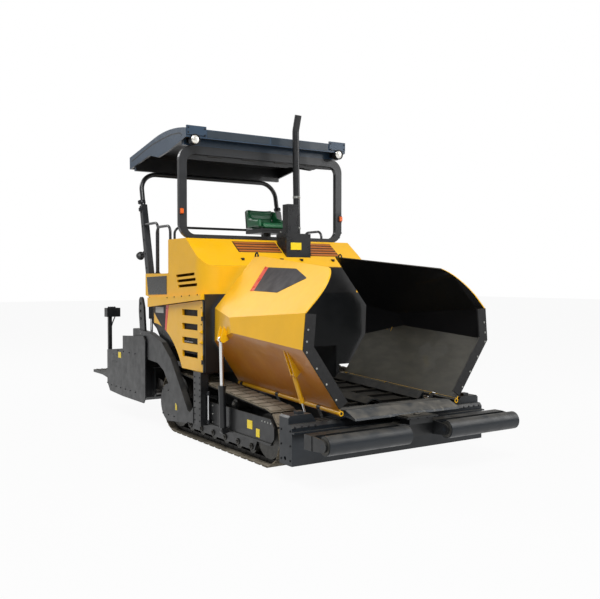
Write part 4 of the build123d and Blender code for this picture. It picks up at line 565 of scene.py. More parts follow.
BOLT_ROWS = (
    # piece, node, body ("*" for the side), finish, slot, size, rows given for the left side
    ("column_bolts", "tow_columns", "tractor", black_fixing, "dark_paint", 0.011,
     [((1.156, -0.64, 0.30), (1.156, -0.64, 0.82), 9), ((1.224, -0.64, 0.30), (1.224, -0.64, 0.82), 9),
      ((1.25, -0.60, 0.30), (1.25, -0.60, 0.80), 8), ((1.25, -0.47, 0.30), (1.25, -0.47, 0.80), 8)]),
    ("guard_bolts", "track_frame_*", "tractor", zinc_fixing, "dark_paint", 0.010,
     [((1.14, -1.83, 0.480), (1.14, -2.00, 0.478), 4), ((1.14, -0.72, 0.49), (1.14, -0.72, 0.30), 3)]),
    ("drive_guard_bolts", "drive_guards", "tractor", black_fixing, "dark_paint", 0.011,
     [((1.15, 0.33, 0.52), (1.15, 0.67, 0.52), 3), ((1.15, 0.33, 0.21), (1.15, 0.67, 0.21), 3)]),
    ("bumper_bolts", "bumper_beam", "tractor", black_fixing, "dark_paint", 0.013,
     [((0.98, -2.60, 0.56), (1.21, -2.60, 0.56), 4), ((1.27, -2.54, 0.50), (1.27, -2.54, 0.22), 3),
      ((1.27, -2.38, 0.50), (1.27, -2.38, 0.22), 3)]),
    ("flap_bolts", "wing_flap_*", "wing_*", zinc_fixing, "track_steel", 0.011,
     [((0.83, -2.72, 0.78), (1.165, -2.72, 1.25), 4), ((1.165, -2.72, 1.35), (1.15, -2.72, 1.46), 2)]),
    ("door_bolts", "side_door_*", "side_door_*", black_fixing, "yellow_paint", 0.009,
     [((1.22, -0.57, 1.60), (1.22, -0.57, 1.02), 4)]),
    ("ledge_bolts", "body_ledges", "tractor", black_fixing, "yellow_paint", 0.009,
     [((1.26, -0.55, 1.75), (1.26, 0.30, 1.70), 5)]),
    ("hoop_bolts", "front_hoop", "tractor", black_fixing, "dark_paint", 0.010,
     [((1.208, -0.02, 2.47), (1.208, -0.02, 2.56), 2)]),
    ("post_bolts", "rear_hoop", "tractor", black_fixing, "dark_paint", 0.012,
     [((1.14, 1.26, 2.08), (1.14, 1.44, 2.84), 5), ((1.03, 1.26, 2.08), (1.03, 1.44, 2.84), 5)]),
    ("roof_bolts", "canopy", "tractor", black_fixing, "canopy_paint", 0.011,
     [((0.93, -0.15, 3.735), (0.93, -0.15, 3.66), 2), ((1.15, -0.15, 3.735), (1.15, -0.15, 3.68), 2)]),
    ("arm_bolts", "tow_arm_*", "screed", zinc_fixing, "dark_paint", 0.012,
     [((1.24, 1.20, 1.20), (1.24, 1.26, 1.02), 3)]),
    ("screed_bolts", "screed_main", "screed", black_fixing, "dark_paint", 0.011,
     [((0.10, 1.90, 0.40), (1.08, 1.90, 0.40), 8)]),
    ("extension_bolts", "screed_extension_*", "screed_extension_*", black_fixing, "dark_paint", 0.011,
     [((0.10, 2.60, 0.40), (1.15, 2.60, 0.40), 8), ((1.27, 1.35, 0.40), (1.27, 2.45, 0.40), 7),
      ((1.27, 1.35, 0.92), (1.27, 2.0, 0.92), 4)]),
    ("roller_bolts", "roller_beam", "roller_beam", black_fixing, "dark_paint", 0.011,
     [((0.06, -3.00, 0.56), (0.16, -3.00, 0.56), 2), ((0.35, -2.92, 0.42), (1.10, -2.92, 0.42), 5)]),
    ("apron_bolts", "hopper_apron", "tractor", black_fixing, "dark_paint", 0.010,
     [((0.08, -2.34, 0.70), (0.60, -2.34, 0.70), 4)]),
    ("seat_bolts", "seat_base", "seat", zinc_fixing, "dark_paint", 0.012,
     [((0.56, 0.52, 2.58), (0.64, 0.52, 2.58), 2)]),
)
BOLT_SPREAD = 0.5          # radians by which a bolt's flats may be turned either way
for piece_name, node, body, finish, slot_name, size, rows in BOLT_ROWS:
    grouped = {}
    for side, s in (SIDES[:1] if body == "seat" else SIDES):
        spots = []
        for start, end, count in rows:
            spots += bolt_row(node.replace("*", side), (s * start[0], *start[1:]), (s * end[0], *end[1:]), count)
        grouped.setdefault(body.replace("*", side), []).append((side, spots))
    for body_name, found in grouped.items():
        label = piece_name if len(found) > 1 or body == "seat" else f"{piece_name}_{found[0][0]}"
        set_on(label, hex_head(size), [spot for _, spots in found for spot in spots], finish, body_name, slot_name,
               spread=BOLT_SPREAD, seed=len(label))

# ---- decals and liners ---------------------------------------------------------------------------
# Vinyl film in black and red is cut to shape and stuck on the painted plates. The small plates of
# yellow plastic and every field of film are blank.

# cast vinyl, matt: even and nearly black, without a skin of its own
vinyl_black = surface("black_vinyl_film", "100810", 0.6, mottle=0.02, peel=0.0)
# cast vinyl, gloss: flat strong red
vinyl_red = surface("red_vinyl_film", "d23a20", 0.3, mottle=0.06, peel=0.03, coat=0.2)
# the same film in pale grey
vinyl_grey = surface("grey_vinyl_film", "a9a7a2", 0.35, mottle=0.05, peel=0.03)
# moulded plastic plate: clean light yellow
plate_yellow = surface("yellow_plastic_plate", "f2d416", 0.35, mottle=0.05, mottle_mm=40, peel=0.05)
# rust-brown enamel on the slats, lightly dusted
louvre_enamel = surface("orange_brown_louvre_enamel", "b3641d", 0.4, mottle=0.1, mottle_mm=120, dust=0.1)
# extruded rubber seal: matt black that reads as a shadow line. The same black is painted shadow in the hood's vent
# openings and the exhaust case's slots.
black_seal_and_painted_shadow = surface("black_rubber_seal_and_painted_shadow", "101011", 0.6, mottle=0.1, peel=0.2)


FILM_SUNK = 0.001          # a film's underside lies this far inside the plate


def lay(bm, node, corners, lift=0.003, steps=14):
    """A thin film between four corners, laid on a plate's surface and closed round its edges."""
    a, b, c, d = [Vector(corner) for corner in corners]
    mean = sum((nearest(node, corner)[1] for corner in (a, b, c, d)), Vector()).normalized()
    seats = [[nearest(node, a.lerp(b, i / steps).lerp(d.lerp(c, i / steps), j / steps))[0]
              for i in range(steps + 1)] for j in range(steps + 1)]
    top, foot = ([[bm.verts.new(seat + mean * height) for seat in line] for line in seats]
                 for height in (lift, -FILM_SUNK))
    for j in range(steps):
        for i in range(steps):
            bm.faces.new((top[j][i], top[j][i + 1], top[j + 1][i + 1], top[j + 1][i]))
            bm.faces.new((foot[j][i], foot[j + 1][i], foot[j + 1][i + 1], foot[j][i + 1]))
    rim = [(0, i) for i in range(steps)] + [(j, steps) for j in range(steps)]
    rim += [(steps, i) for i in range(steps, 0, -1)] + [(j, 0) for j in range(steps, 0, -1)]
    for (j, i), (m, n) in zip(rim, rim[1:] + rim[:1]):
        bm.faces.new((top[j][i], foot[j][i], foot[m][n], top[m][n]))


FILMS = (
    # piece, node, body, finish, slot, corners of each film on the left side
    ("wing_decal", "wing_*", "wing_*", vinyl_black, "dark_paint",
     [((0.735, -1.27, 2.07), (0.770, -1.88, 2.055), (0.985, -1.86, 1.80), (0.955, -1.34, 1.81)),
      ((0.770, -1.88, 2.055), (0.850, -2.20, 1.955), (0.858, -2.21, 1.945), (0.985, -1.86, 1.80))]),
    ("wing_stripe", "wing_*", "wing_*", vinyl_red, "dark_paint",
     [((0.728, -1.18, 2.085), (0.735, -1.27, 2.07), (0.955, -1.34, 1.81), (0.960, -1.25, 1.81))]),
    ("door_decal", "side_door_*", "side_door_*", vinyl_black, "dark_paint",
     [((1.21, 0.80, 1.63), (1.21, 0.42, 1.63), (1.21, 0.47, 1.27), (1.21, 0.80, 1.50))]),
    ("door_stripe", "side_door_*", "side_door_*", vinyl_red, "dark_paint",
     [((1.21, 0.415, 1.63), (1.21, 0.335, 1.63), (1.21, 0.43, 1.22), (1.21, 0.465, 1.26))]),
    ("door_plate", "side_door_*", "side_door_*", vinyl_grey, "dark_paint",
     [((1.213, 0.75, 1.575), (1.213, 0.50, 1.575), (1.213, 0.50, 1.50), (1.213, 0.75, 1.50))]),
    ("box_cover", "side_boxes", "tractor", smoked_cover, "dark_paint",
     [((1.21, 1.045, 1.955), (1.21, 0.40, 1.970), (1.21, 0.40, 1.740), (1.21, 0.99, 1.725))]),
    ("guard_plates", "track_frame_*", "tractor", plate_yellow, "yellow_paint",
     [((1.14, -1.52, 0.450), (1.14, -1.625, 0.450), (1.14, -1.625, 0.360), (1.14, -1.52, 0.360)),
      ((1.14, -1.705, 0.385), (1.14, -1.775, 0.385), (1.14, -1.775, 0.300), (1.14, -1.705, 0.300))]),
    ("drive_guard_plate", "drive_guards", "tractor", plate_yellow, "yellow_paint",
     [((1.15, 0.285, 0.385), (1.15, 0.235, 0.385), (1.15, 0.235, 0.300), (1.15, 0.285, 0.300))]),
    ("gate_plate", "screed_extension_*", "screed_extension_*", plate_yellow, "yellow_paint",
     [((1.26, 1.98, 0.90), (1.26, 1.88, 0.90), (1.26, 1.88, 0.82), (1.26, 1.98, 0.82))]),
)
for piece_name, node, body, finish, slot_name, films in FILMS:
    for side, s in SIDES:
        film = bmesh.new()
        for corners in films:
            lay(film, node.replace("*", side), [(s * x, y, z) for x, y, z in corners])
        finished(f"{piece_name}_{side}", film, finish, body.replace("*", side), slot_name)

# ---- hood ----------------------------------------------------------------------------------------
# The hood is pressed sheet in gloss yellow. Cooling air comes in through slatted fields on its
# slope, enamelled orange brown, and through slots in its sides. Rubber latches hold its front edge.
SLOPE_LOW, SLOPE_HIGH = Vector((0, -0.450, 2.200)), Vector((0, -0.150, 2.420))
slope_run = (SLOPE_HIGH - SLOPE_LOW).normalized()
slope_up = Vector((0, -slope_run.z, slope_run.y))
SLAT_FIELDS = (
    # x from, x to, distance up the slope from, to, slats
    (-0.60, 0.020, 0.095, 0.325, 4), (0.420, 0.87, 0.035, 0.325, 5),
)
SLAT_SHARE = 0.62          # of the pitch that each slat covers
SLAT_INSET = 0.012
# Painted shadow: a black film laid under the slats stands for the dark of the vent openings.
fields, slat_spots = bmesh.new(), []
for x0, x1, low, high, count in SLAT_FIELDS:
    lay(fields, "engine_hood", [(x, *(SLOPE_LOW + slope_run * far)[1:]) for x, far in
                                ((x0, low), (x1, low), (x1, high), (x0, high))], lift=0.002, steps=4)
    pitch = (high - low) / count
    for i in range(count):
        middle = SLOPE_LOW + slope_run * (low + pitch * (i + 0.5))
        slat_spots.append((((x0 + x1) / 2, *middle[1:]), slope_up, ACROSS,
                           (x1 - x0 - 2 * SLAT_INSET, pitch * SLAT_SHARE, 1)))
finished("hood_vent_shadows", fields, black_seal_and_painted_shadow, "tractor", "dark_paint")

# Between the wings the hopper's back is lined in black rubber, up to the foot of the slope.
liner = bmesh.new()
lay(liner, "engine_hood", [(x, -0.66, z) for x, z in ((-0.52, 2.08), (1.17, 2.08), (1.17, 1.725), (-0.52, 1.725))],
    lift=0.004, steps=8)
finished("hopper_back_liner", liner, black_seal_and_painted_shadow, "tractor", "dark_paint")

slat = bmesh.new()
prism(slat, [(-0.5, y, z) for y, z in ((-0.5, 0), (-0.3, 0.012), (0.42, 0.006), (0.5, 0))], ACROSS)
set_on("hood_slats", slat, slat_spots, louvre_enamel, "tractor", "yellow_paint")

latch = bmesh.new()
block(latch, (-0.014, -0.030, -0.012), (0.014, 0.022, 0.018), 0.006)
set_on("hood_latches", latch, [(nearest("engine_hood", (x, -0.50, 2.170))[0], UP, ACROSS)
                               for x in (-0.62, -0.071, 0.219, 0.70)], black_seal_and_painted_shadow, "tractor", "rubber_sheet")

seams = bmesh.new()
for s in (1, -1):
    for corners in (((1.12, 0.352, 2.41), (1.12, 0.340, 2.41), (1.12, 0.340, 1.78), (1.12, 0.352, 1.78)),
                    ((1.12, -0.56, 1.815), (1.12, 0.34, 1.772), (1.12, 0.34, 1.762), (1.12, -0.56, 1.805))):
        lay(seams, "engine_hood", [(s * x, y, z) for x, y, z in corners], lift=0.0015)
finished("hood_seams", seams, black_seal_and_painted_shadow, "tractor", "rubber_sheet")

# ---- side doors: keeps and screens ---------------------------------------------------------------
# Each engine door is folded sheet that swings on its front edge, where two forged keeps with turned
# studs, sprayed with the door, hold it. Behind its slots a punched screen keeps hands off the fan.
for side, s in SIDES:
    catch = bmesh.new()
    for z in (1.32, 1.20):
        block(catch, (s * 1.201, -0.598, z - 0.02), (s * 1.216, -0.555, z + 0.02), 0.006)
        turned(catch, (s * 1.214, -0.575, z), (s, 0, 0), ((0, 0.012), (0.010, 0.012), (0.014, 0.006)), 12)
    finished(f"door_catch_{side}", catch, yellow_enamel, f"side_door_{side}", "yellow_paint")

for side, s in SIDES:
    screen = bmesh.new()
    for i in range(26):
        y = -0.505 + i * 0.021
        block(screen, (s * 1.1645, y, 1.045), (s * 1.1665, y + 0.013, 1.625), 0.001)
    for i in range(14):
        z = 1.060 + i * 0.0425
        block(screen, (s * 1.1625, -0.505, z), (s * 1.1645, 0.035, z + 0.028), 0.001)
    finished(f"door_screen_{side}", screen, black_seal_and_painted_shadow, f"side_door_{side}", "dark_paint")

# ---- inner fairings ------------------------------------------------------------------------------
# A folded black sheet stands behind each door and closes the body over the rear of the track. It is
# cut from steel, sprayed, and welded along its top.
FAIRING = ((0.362, 1.10), (0.50, 1.06), (0.66, 1.08), (0.80, 1.16), (0.92, 1.28), (1.085, 1.36), (1.085, 1.70),
           (0.362, 1.72))     # y, z
fairing = bmesh.new()
for s in (1, -1):
    prism(fairing, [(s * 1.112, y, z) for y, z in FAIRING], (s * 0.005, 0, 0))
finished("body_fairings", fairing, charcoal_enamel, "tractor", "dark_paint")

# ---- hopper: edge strips and ring eyes -----------------------------------------------------------
# A strip of rubber sheet is bolted inside each wing's front edge, and a forged ring eye, welded on
# its top edge, takes a lifting hook.
EDGE = ((0.80, 0.75), (1.150, 1.24), (1.190, 1.30), (1.160, 1.60), (1.100, 1.68), (0.86, 1.92))     # x, z
STRIP_FROM, STRIP_TO = -2.665, -2.575
EYE_STEPS = 12
for side, s in SIDES:
    strip = bmesh.new()
    for low, high in zip(EDGE, EDGE[1:]):
        inner = [(s * (x - 0.03), y, z) for (x, z), y in
                 ((low, STRIP_FROM), (high, STRIP_FROM), (high, STRIP_TO), (low, STRIP_TO))]
        lay(strip, f"wing_{side}", inner, lift=0.006, steps=4)
    finished(f"wing_edge_strip_{side}", strip, rubber_sheet, f"wing_{side}", "rubber_sheet")
    eye = bmesh.new()
    base = nearest(f"wing_{side}", (s * 0.60, -0.80, 2.19))[0]
    ring = [base + Vector((0, cos(pi * i / EYE_STEPS) * 0.035, sin(pi * i / EYE_STEPS) * 0.045))
            for i in range(EYE_STEPS + 1)]
    for p, q in zip(ring, ring[1:]):
        turned(eye, p, q - p, ((0, 0.009), ((q - p).length, 0.009)), 8)
    finished(f"wing_ring_eye_{side}", eye, black_fixing, f"wing_{side}", "dark_paint")

# ---- bumper: step ribs, pivot cap and rollers' ends ----------------------------------------------
# Trucks push against two steel rollers on a beam that swings on a capped pin. The bumper's top is a
# step with welded ribs, sprayed with the beam, and the rollers' ends are turned bare.
TREADS, TREAD_PITCH = 24, 0.0757
LEVEL = 0.8                # a face whose upward part is over this counts as level
tread_spots = []
for i in range(TREADS):
    x = -0.87 + i * TREAD_PITCH
    spot, facing = nearest("bumper_beam", (x, -2.46, 0.60))
    if facing.z > LEVEL:
        tread_spots.append(((x, -2.46, spot.z), UP, ACROSS))
tread = bmesh.new()
block(tread, (-0.012, -0.08, -0.002), (0.012, 0.08, 0.005), 0.006)
set_on("bumper_treads", tread, tread_spots, slate_enamel, "tractor", "dark_paint")

centre = bmesh.new()
spot = nearest("roller_beam", (0, -2.90, 0.62))[0]
block(centre, (-0.17, -2.975, spot.z - 0.002), (0.17, -2.835, spot.z + 0.006), 0.01)
turned(centre, (0, -2.905, spot.z), UP, ((0, 0.035), (0.016, 0.035), (0.022, 0.028)), 20)
finished("roller_beam_pivot_cap", centre, bare_steel, "roller_beam", "dark_paint")

for side, s in SIDES:
    ends = bmesh.new()
    for x, way in ((0.254, -1), (1.212, 1)):
        turned(ends, (s * x, -3.05, 0.445), (s * way, 0, 0),
               ((-0.002, 0.080), (0.006, 0.080), (0.008, 0.045), (0.004, 0.040), (0.004, 0.020)), 28)
    finished(f"push_roller_ends_{side}", ends, bare_steel, f"push_roller_{side}", "dark_paint")

# ---- tow columns: depth screw --------------------------------------------------------------------
# A ground and chromed rod on the front of each column sets the tow point's height. Turned collars on
# welded feet clamp both its ends.
SCREW_X, SCREW_Y = 1.163, -0.668
rod, collar = bmesh.new(), bmesh.new()
turned(rod, (0, 0, 0), UP, ((0, 0.009), (0.36, 0.009)), 14)
set_on("depth_rods", rod, [((s * SCREW_X, SCREW_Y, 0.285), UP, ACROSS) for s in (1, -1)],
       chrome_rod, "tractor", "chrome")
turned(collar, (0, 0, 0), UP, ((0, 0.018), (0.004, 0.021), (0.040, 0.021), (0.044, 0.018)), 18)
block(collar, (-0.018, -0.002, 0.006), (0.018, 0.046, 0.038), 0.004)
set_on("depth_rod_collars", collar, [((s * SCREW_X, SCREW_Y, z), UP, ACROSS) for s in (1, -1) for z in (0.275, 0.60)],
       black_fixing, "tractor", "dark_paint")

# ---- front hoop: header panel and amber markers --------------------------------------------------
# The hoop is square tube with welded corners. A pressed header panel closes the gap under the roof,
# and an amber marker lamp is screwed to each post.

# moulded amber lens: bright orange, rippled inside, very glossy
lamp_amber = surface("amber_lens_moulded", "e2641a", 0.15, mottle=0.08, mottle_mm=15, peel=0.3, peel_mm=5, coat=0.6)
# clear lens before a bright reflector: pale and glassy
lamp_clear = surface("clear_lens_over_reflector", "e9e7df", 0.08, metal=0.55, mottle=0.2, mottle_mm=12, peel=0.6,
                     peel_mm=7, coat=0.8)
# pressed sheet in half-gloss black
panel_black = surface("black_pressed_panel", "101113", 0.45, mottle=0.1, dust=0.1)
HEADER = ((-1.12, 3.50), (-1.12, 3.41), (-1.09, 3.385), (0.34, 3.385), (0.38, 3.40), (0.60, 3.405), (0.64, 3.39),
          (0.76, 3.39), (0.80, 3.405), (1.09, 3.41), (1.12, 3.44), (1.12, 3.50))     # x, z
header = bmesh.new()
prism(header, [(x, 0.018, z) for x, z in HEADER], (0, 0.004, 0))
for x in (-0.72, -0.24, 0.24, 0.72):
    block(header, (x - 0.10, 0.010, 3.43), (x + 0.10, 0.020, 3.47), 0.004)
finished("roof_header_panel", header, panel_black, "tractor", "dark_paint")
MARKER_X = 1.184
markers, sockets = bmesh.new(), bmesh.new()
for s in (1, -1):
    x, front = s * MARKER_X, nearest("front_hoop", (s * MARKER_X, -0.02, 2.75))[0].y
    block(sockets, (x - 0.026, front - 0.006, 2.705), (x + 0.026, front + 0.002, 2.795), 0.003)
    prism(markers, [(x - 0.02, front - out, z) for out, z in
                    ((0.005, 2.715), (0.028, 2.725), (0.028, 2.775), (0.005, 2.785))], (0.04, 0, 0))
finished("marker_lenses", markers, lamp_amber, "tractor", "lamp_glass")
finished("marker_sockets", sockets, black_seal_and_painted_shadow, "tractor", "dark_paint")

# ---- roof: border, groove, front band and lamps --------------------------------------------------
# The roof is moulded in one skin. A groove follows its rim, the front band is a paler pressing, and
# round work lamps with clear lenses sit in the front corners.

# the same moulding a shade paler, clean and even
band_slate = surface("paler_slate_pressing", "222e38", 0.38, mottle=0.06, peel=0.05, coat=0.2)
GROOVE = ((1.62, 3.545), (1.40, 3.585), (1.15, 3.632), (0.90, 3.672), (0.60, 3.698), (0.32, 3.712), (0.10, 3.700),
          (0.03, 3.688), (0.00, 3.668), (0.02, 3.650))     # y, z
GROOVE_HALF = 0.007
groove = bmesh.new()
for s in (1, -1):
    for start, end in zip(GROOVE, GROOVE[1:]):
        lay(groove, "canopy", [(s * 1.19, y, z + up) for (y, z), up in
                               ((start, GROOVE_HALF), (end, GROOVE_HALF), (end, -GROOVE_HALF), (start, -GROOVE_HALF))],
            lift=0.0012, steps=3)
finished("roof_groove", groove, black_seal_and_painted_shadow, "tractor", "canopy_paint")
band = bmesh.new()
for x0, x1 in ((-0.895, -0.012), (0.012, 0.895)):
    lay(band, "canopy", [(x, -0.13, z) for x, z in ((x0, 3.725), (x1, 3.725), (x1, 3.640), (x0, 3.640))])
finished("roof_front_band", band, band_slate, "tractor", "canopy_paint")
rims, lenses = bmesh.new(), bmesh.new()
for s in (1, -1):
    turned(rims, (s * 1.06, -0.088, 3.600), (0, -1, 0),
           ((0, 0.062), (0.052, 0.066), (0.058, 0.064), (0.058, 0.055), (0.046, 0.053)), 28)
    turned(lenses, (s * 1.06, -0.134, 3.600), (0, -1, 0),
           ((0, 0.052), (0.006, 0.050), (0.012, 0.040), (0.016, 0.024), (0.0175, 0.008)), 24)
finished("work_lamp_rims", rims, black_fixing, "tractor", "dark_paint")
finished("work_lamp_lenses", lenses, lamp_clear, "tractor", "lamp_glass")

# ---- rear hoop: post collars and small work lamps ------------------------------------------------
# The rear posts are bent tube and fold for transport at a bolted steel collar. A small lamp in a
# pressed black case, on a stalk screwed to each post, lights the auger.
POST_X = 1.088
POST_LEAN = 0.2374         # how far the post goes back for each metre up
collars, small_lamps, small_lenses = bmesh.new(), bmesh.new(), bmesh.new()
lean = Vector((0, POST_LEAN, 1)).normalized()
stalk_way, lamp_way = (0, 1, -0.3), (0, 1, -0.5)
for s in (1, -1):
    for z in (2.86, 2.96):
        turned(collars, (s * POST_X, 1.474 + (z - 2.935) * POST_LEAN, z), lean,
               ((0, 0.046), (0.004, 0.052), (0.040, 0.052), (0.044, 0.046)), 20)
    turned(small_lamps, (s * POST_X, 1.40, 2.30), stalk_way, ((0, 0.016), (0.13, 0.016)), 12)
    turned(small_lamps, (s * POST_X, 1.50, 2.27), lamp_way,
           ((0, 0.024), (0.016, 0.050), (0.060, 0.058), (0.066, 0.055)), 20)
    turned(small_lenses, (s * POST_X, 1.556, 2.242), lamp_way, ((0, 0.052), (0.010, 0.048), (0.014, 0.03)), 20)
finished("post_collars", collars, black_fixing, "tractor", "dark_paint")
finished("auger_lamps", small_lamps, panel_black, "tractor", "dark_paint")
finished("auger_lamp_lenses", small_lenses, lamp_clear, "tractor", "lamp_glass")

# ---- exhaust: clamps, vents and blank plate ------------------------------------------------------
# The stack is steel tube in a folded sheet case. Stainless band clamps hold it, slots punched in the
# case's sides let heat out, and the yellow plastic plate on its front is blank.
STACK_X, STACK_Y = 0.265, -0.33
STACK_LEAN = 0.0154        # towards the middle of the machine, for each metre up
clamps = bmesh.new()
for z in (2.56, 2.95):
    x = STACK_X - (z - 2.5) * STACK_LEAN
    turned(clamps, (x, STACK_Y, z), (-STACK_LEAN, 0, 1),
           ((0, 0.045), (0.002, 0.048), (0.028, 0.048), (0.030, 0.045)), 24)
    block(clamps, (x - 0.012, STACK_Y - 0.068, z + 0.006), (x + 0.012, STACK_Y - 0.046, z + 0.024), 0.003)
finished("stack_clamps", clamps, zinc_fixing, "tractor", "chrome")
slot_cut, badge = bmesh.new(), bmesh.new()
# Painted shadow: each slot is a thin black block that stands for the dark of its opening.
block(slot_cut, (-0.003, 0, 0), (0.003, 0.015, 0.110), 0.003)
set_on("exhaust_case_vents", slot_cut, [((x, -0.40 + i * 0.034, 2.34), UP, ACROSS)
                                        for i in range(5) for x in (0.033, 0.397)],
       black_seal_and_painted_shadow, "tractor", "dark_paint")
block(badge, (0.095, -0.4545, 2.295), (0.250, -0.4475, 2.385), 0.002)
finished("exhaust_blank_plate", badge, plate_yellow, "tractor", "yellow_paint")

# ---- operator's seat -----------------------------------------------------------------------------
# Foam pads in glued green vinyl, on a black moulded shell that swivels: seat, back and two side
# bolsters. The vinyl is taut, crowned in the middle, and drawn in by stitched channels.
SEAT_X = 0.465
PAD_VOXEL = 0.012
PAD_SWELL = 0.012          # the furthest the foam pushes the vinyl out
PAD_EDGE = 0.016
PRESSURE = 4
SWELL_FRAMES = 20


def vinyl_crease_shade(tree, place, facing, colour, rough):
    """Painted shade: soft dark creases, about 25 mm long, where the vinyl has been sat on."""
    crease = ramp(tree, cloud(tree, place, 25, 5.0), 0.45, 0.7)
    return blend_colour(tree, sums(tree, "MULTIPLY", crease, 0.35), colour, paint_hex("063a1f")), rough


# grained vinyl over foam: deep green, taut, with a soft gloss and painted shade in its creases
seat_vinyl = surface("green_vinyl_over_foam", "0d5f37", 0.38, mottle=0.12, mottle_mm=160, peel=0.35, peel_mm=2.5,
                     coat=0.15, over=vinyl_crease_shade)


def settled(work):
    """The mesh that a work object's modifiers give now."""
    bpy.context.view_layer.update()
    return bpy.data.meshes.new_from_object(work.evaluated_get(bpy.context.evaluated_depsgraph_get()))


def swollen(name, outline, x, half_width, channels):
    """A pad: its side outline across x, swelled by cloth pressure, with stitched channels pressed in."""
    bm = bmesh.new()
    prism(bm, [(x - half_width, y, z) for y, z in outline], (2 * half_width, 0, 0))
    bmesh.ops.recalc_face_normals(bm, faces=bm.faces)
    bmesh.ops.bevel(bm, geom=list(bm.edges), offset=PAD_EDGE, segments=3, affect="EDGES", profile=0.5)
    rough_mesh = bpy.data.meshes.new(name + "_block")
    bm.to_mesh(rough_mesh)
    bm.free()
    work = bpy.data.objects.new(name + "_work", rough_mesh)
    bpy.context.scene.collection.objects.link(work)
    remesh = work.modifiers.new("even", "REMESH")
    remesh.mode = "VOXEL"
    remesh.voxel_size = PAD_VOXEL
    even = settled(work)
    work.modifiers.remove(remesh)
    work.data = even
    rest = [v.co.copy() for v in even.vertices]
    cloth = work.modifiers.new("swell", "CLOTH")
    cloth.settings.use_pressure = True
    cloth.settings.uniform_pressure_force = PRESSURE
    cloth.settings.effector_weights.gravity = 0
    cloth.settings.quality = 5
    cloth.point_cache.frame_start, cloth.point_cache.frame_end = 1, SWELL_FRAMES
    for frame_number in range(1, SWELL_FRAMES + 1):
        bpy.context.scene.frame_set(frame_number)
    swelled = bpy.data.meshes.new_from_object(work.evaluated_get(bpy.context.evaluated_depsgraph_get()))
    work.modifiers.remove(cloth)
    bpy.context.scene.frame_set(1)
    for v, start in zip(swelled.vertices, rest):
        moved = v.co - start
        if moved.length > PAD_SWELL:
            v.co = start + moved.normalized() * PAD_SWELL
    work.data = swelled
    finer = work.modifiers.new("finer", "SUBSURF")
    finer.levels = finer.render_levels = 1
    mesh = settled(work)
    bpy.data.objects.remove(work)
    mesh.name = name
    for axis, where, depth, width in channels:
        for v in mesh.vertices:
            off = (v.co[axis] - where) / width
            v.co -= v.normal * depth * exp(-off * off)
    return mesh


BOLSTER = ((0.560, 2.630), (0.900, 2.628), (0.985, 2.895), (0.890, 2.890), (0.820, 2.800), (0.570, 2.735))
PAD_FORMS = (
    # piece, side outline (y, z), middle x, half width, channels (axis, where, depth, width)
    ("seat_pad", ((0.535, 2.632), (0.885, 2.615), (0.895, 2.690), (0.545, 2.695)), SEAT_X, 0.180,
     ((1, 0.66, 0.006, 0.008), (1, 0.78, 0.006, 0.008))),
    ("back_pad", ((0.900, 2.690), (0.960, 2.680), (1.000, 2.905), (0.935, 2.908)), SEAT_X, 0.205,
     ((2, 2.765, 0.007, 0.009), (2, 2.845, 0.007, 0.009))),
    ("bolster_left", BOLSTER, SEAT_X + 0.208, 0.021, ()),
    ("bolster_right", BOLSTER, SEAT_X - 0.208, 0.021, ()),
)
for pad_name, outline, middle_x, half_width, channels in PAD_FORMS:
    pad = placed(pad_name, swollen(pad_name, outline, middle_x, half_width, channels), seat_vinyl, "seat",
                 "seat_green", "seat_cushion")
shell = bmesh.new()
for half_width, outline in (
        (0.200, ((0.970, 2.640), (0.990, 2.640), (1.022, 2.880), (1.008, 2.885))),
        (0.205, ((0.530, 2.598), (0.985, 2.598), (0.985, 2.614), (0.530, 2.622)))):
    prism(shell, [(SEAT_X - half_width, y, z) for y, z in outline], (2 * half_width, 0, 0))
for x in (-0.19, 0.19):
    turned(shell, (SEAT_X + x, 0.545, 2.612), (0, 1, 0), ((0, 0.014), (0.42, 0.014)), 12)
finished("seat_shell", shell, panel_black, "seat", "dark_paint", "seat_cushion")

# ---- control console -----------------------------------------------------------------------------
# The desk is folded sheet steel, sprayed. Rotary knobs in two rows, a dark glass screen and the travel
# lever with its moulded grip are set in its sloping face.

# dark glass: near black and mirror smooth
screen_glass = surface("dark_screen_glass", "0b1216", 0.08, mottle=0.05, peel=0.02, coat=0.5)
KNOB_PITCH = 0.045
SCREEN_FROM, SCREEN_TO, SCREEN_HALF = 0.07, 0.24, 0.035
knob, screen, lever = bmesh.new(), bmesh.new(), bmesh.new()
desk, desk_facing = nearest("control_console", (0.465, 0.50, 2.45))
desk_run = Vector((0, desk_facing.z, -desk_facing.y)).normalized()
turned(knob, (0, 0, 0), UP, ((-0.002, 0.013), (0.006, 0.013), (0.010, 0.010), (0.022, 0.009), (0.024, 0.006)), 14)
set_on("console_knobs", knob, [(desk + Vector((-0.27 + i * KNOB_PITCH, 0, 0)) + desk_run * (-0.025 + row * KNOB_PITCH),
                                desk_facing, ACROSS) for row in range(2) for i in range(7)],
       black_fixing, "tractor", "dark_paint")
corners = [desk + Vector((x, 0, 0)) + desk_run * run * SCREEN_HALF for x, run in
           ((SCREEN_FROM, -1), (SCREEN_TO, -1), (SCREEN_TO, 1), (SCREEN_FROM, 1))]
prism(screen, [corner - desk_facing * 0.001 for corner in corners], desk_facing * 0.010)
finished("console_screen", screen, screen_glass, "tractor", "dark_paint")
turned(lever, desk + Vector((0.04, 0, 0)), desk_facing,
       ((-0.002, 0.024), (0.012, 0.022), (0.014, 0.006), (0.085, 0.006), (0.088, 0.012), (0.100, 0.019), (0.114, 0.019),
        (0.124, 0.010)), 18)
finished("travel_lever", lever, black_seal_and_painted_shadow, "tractor", "dark_paint")

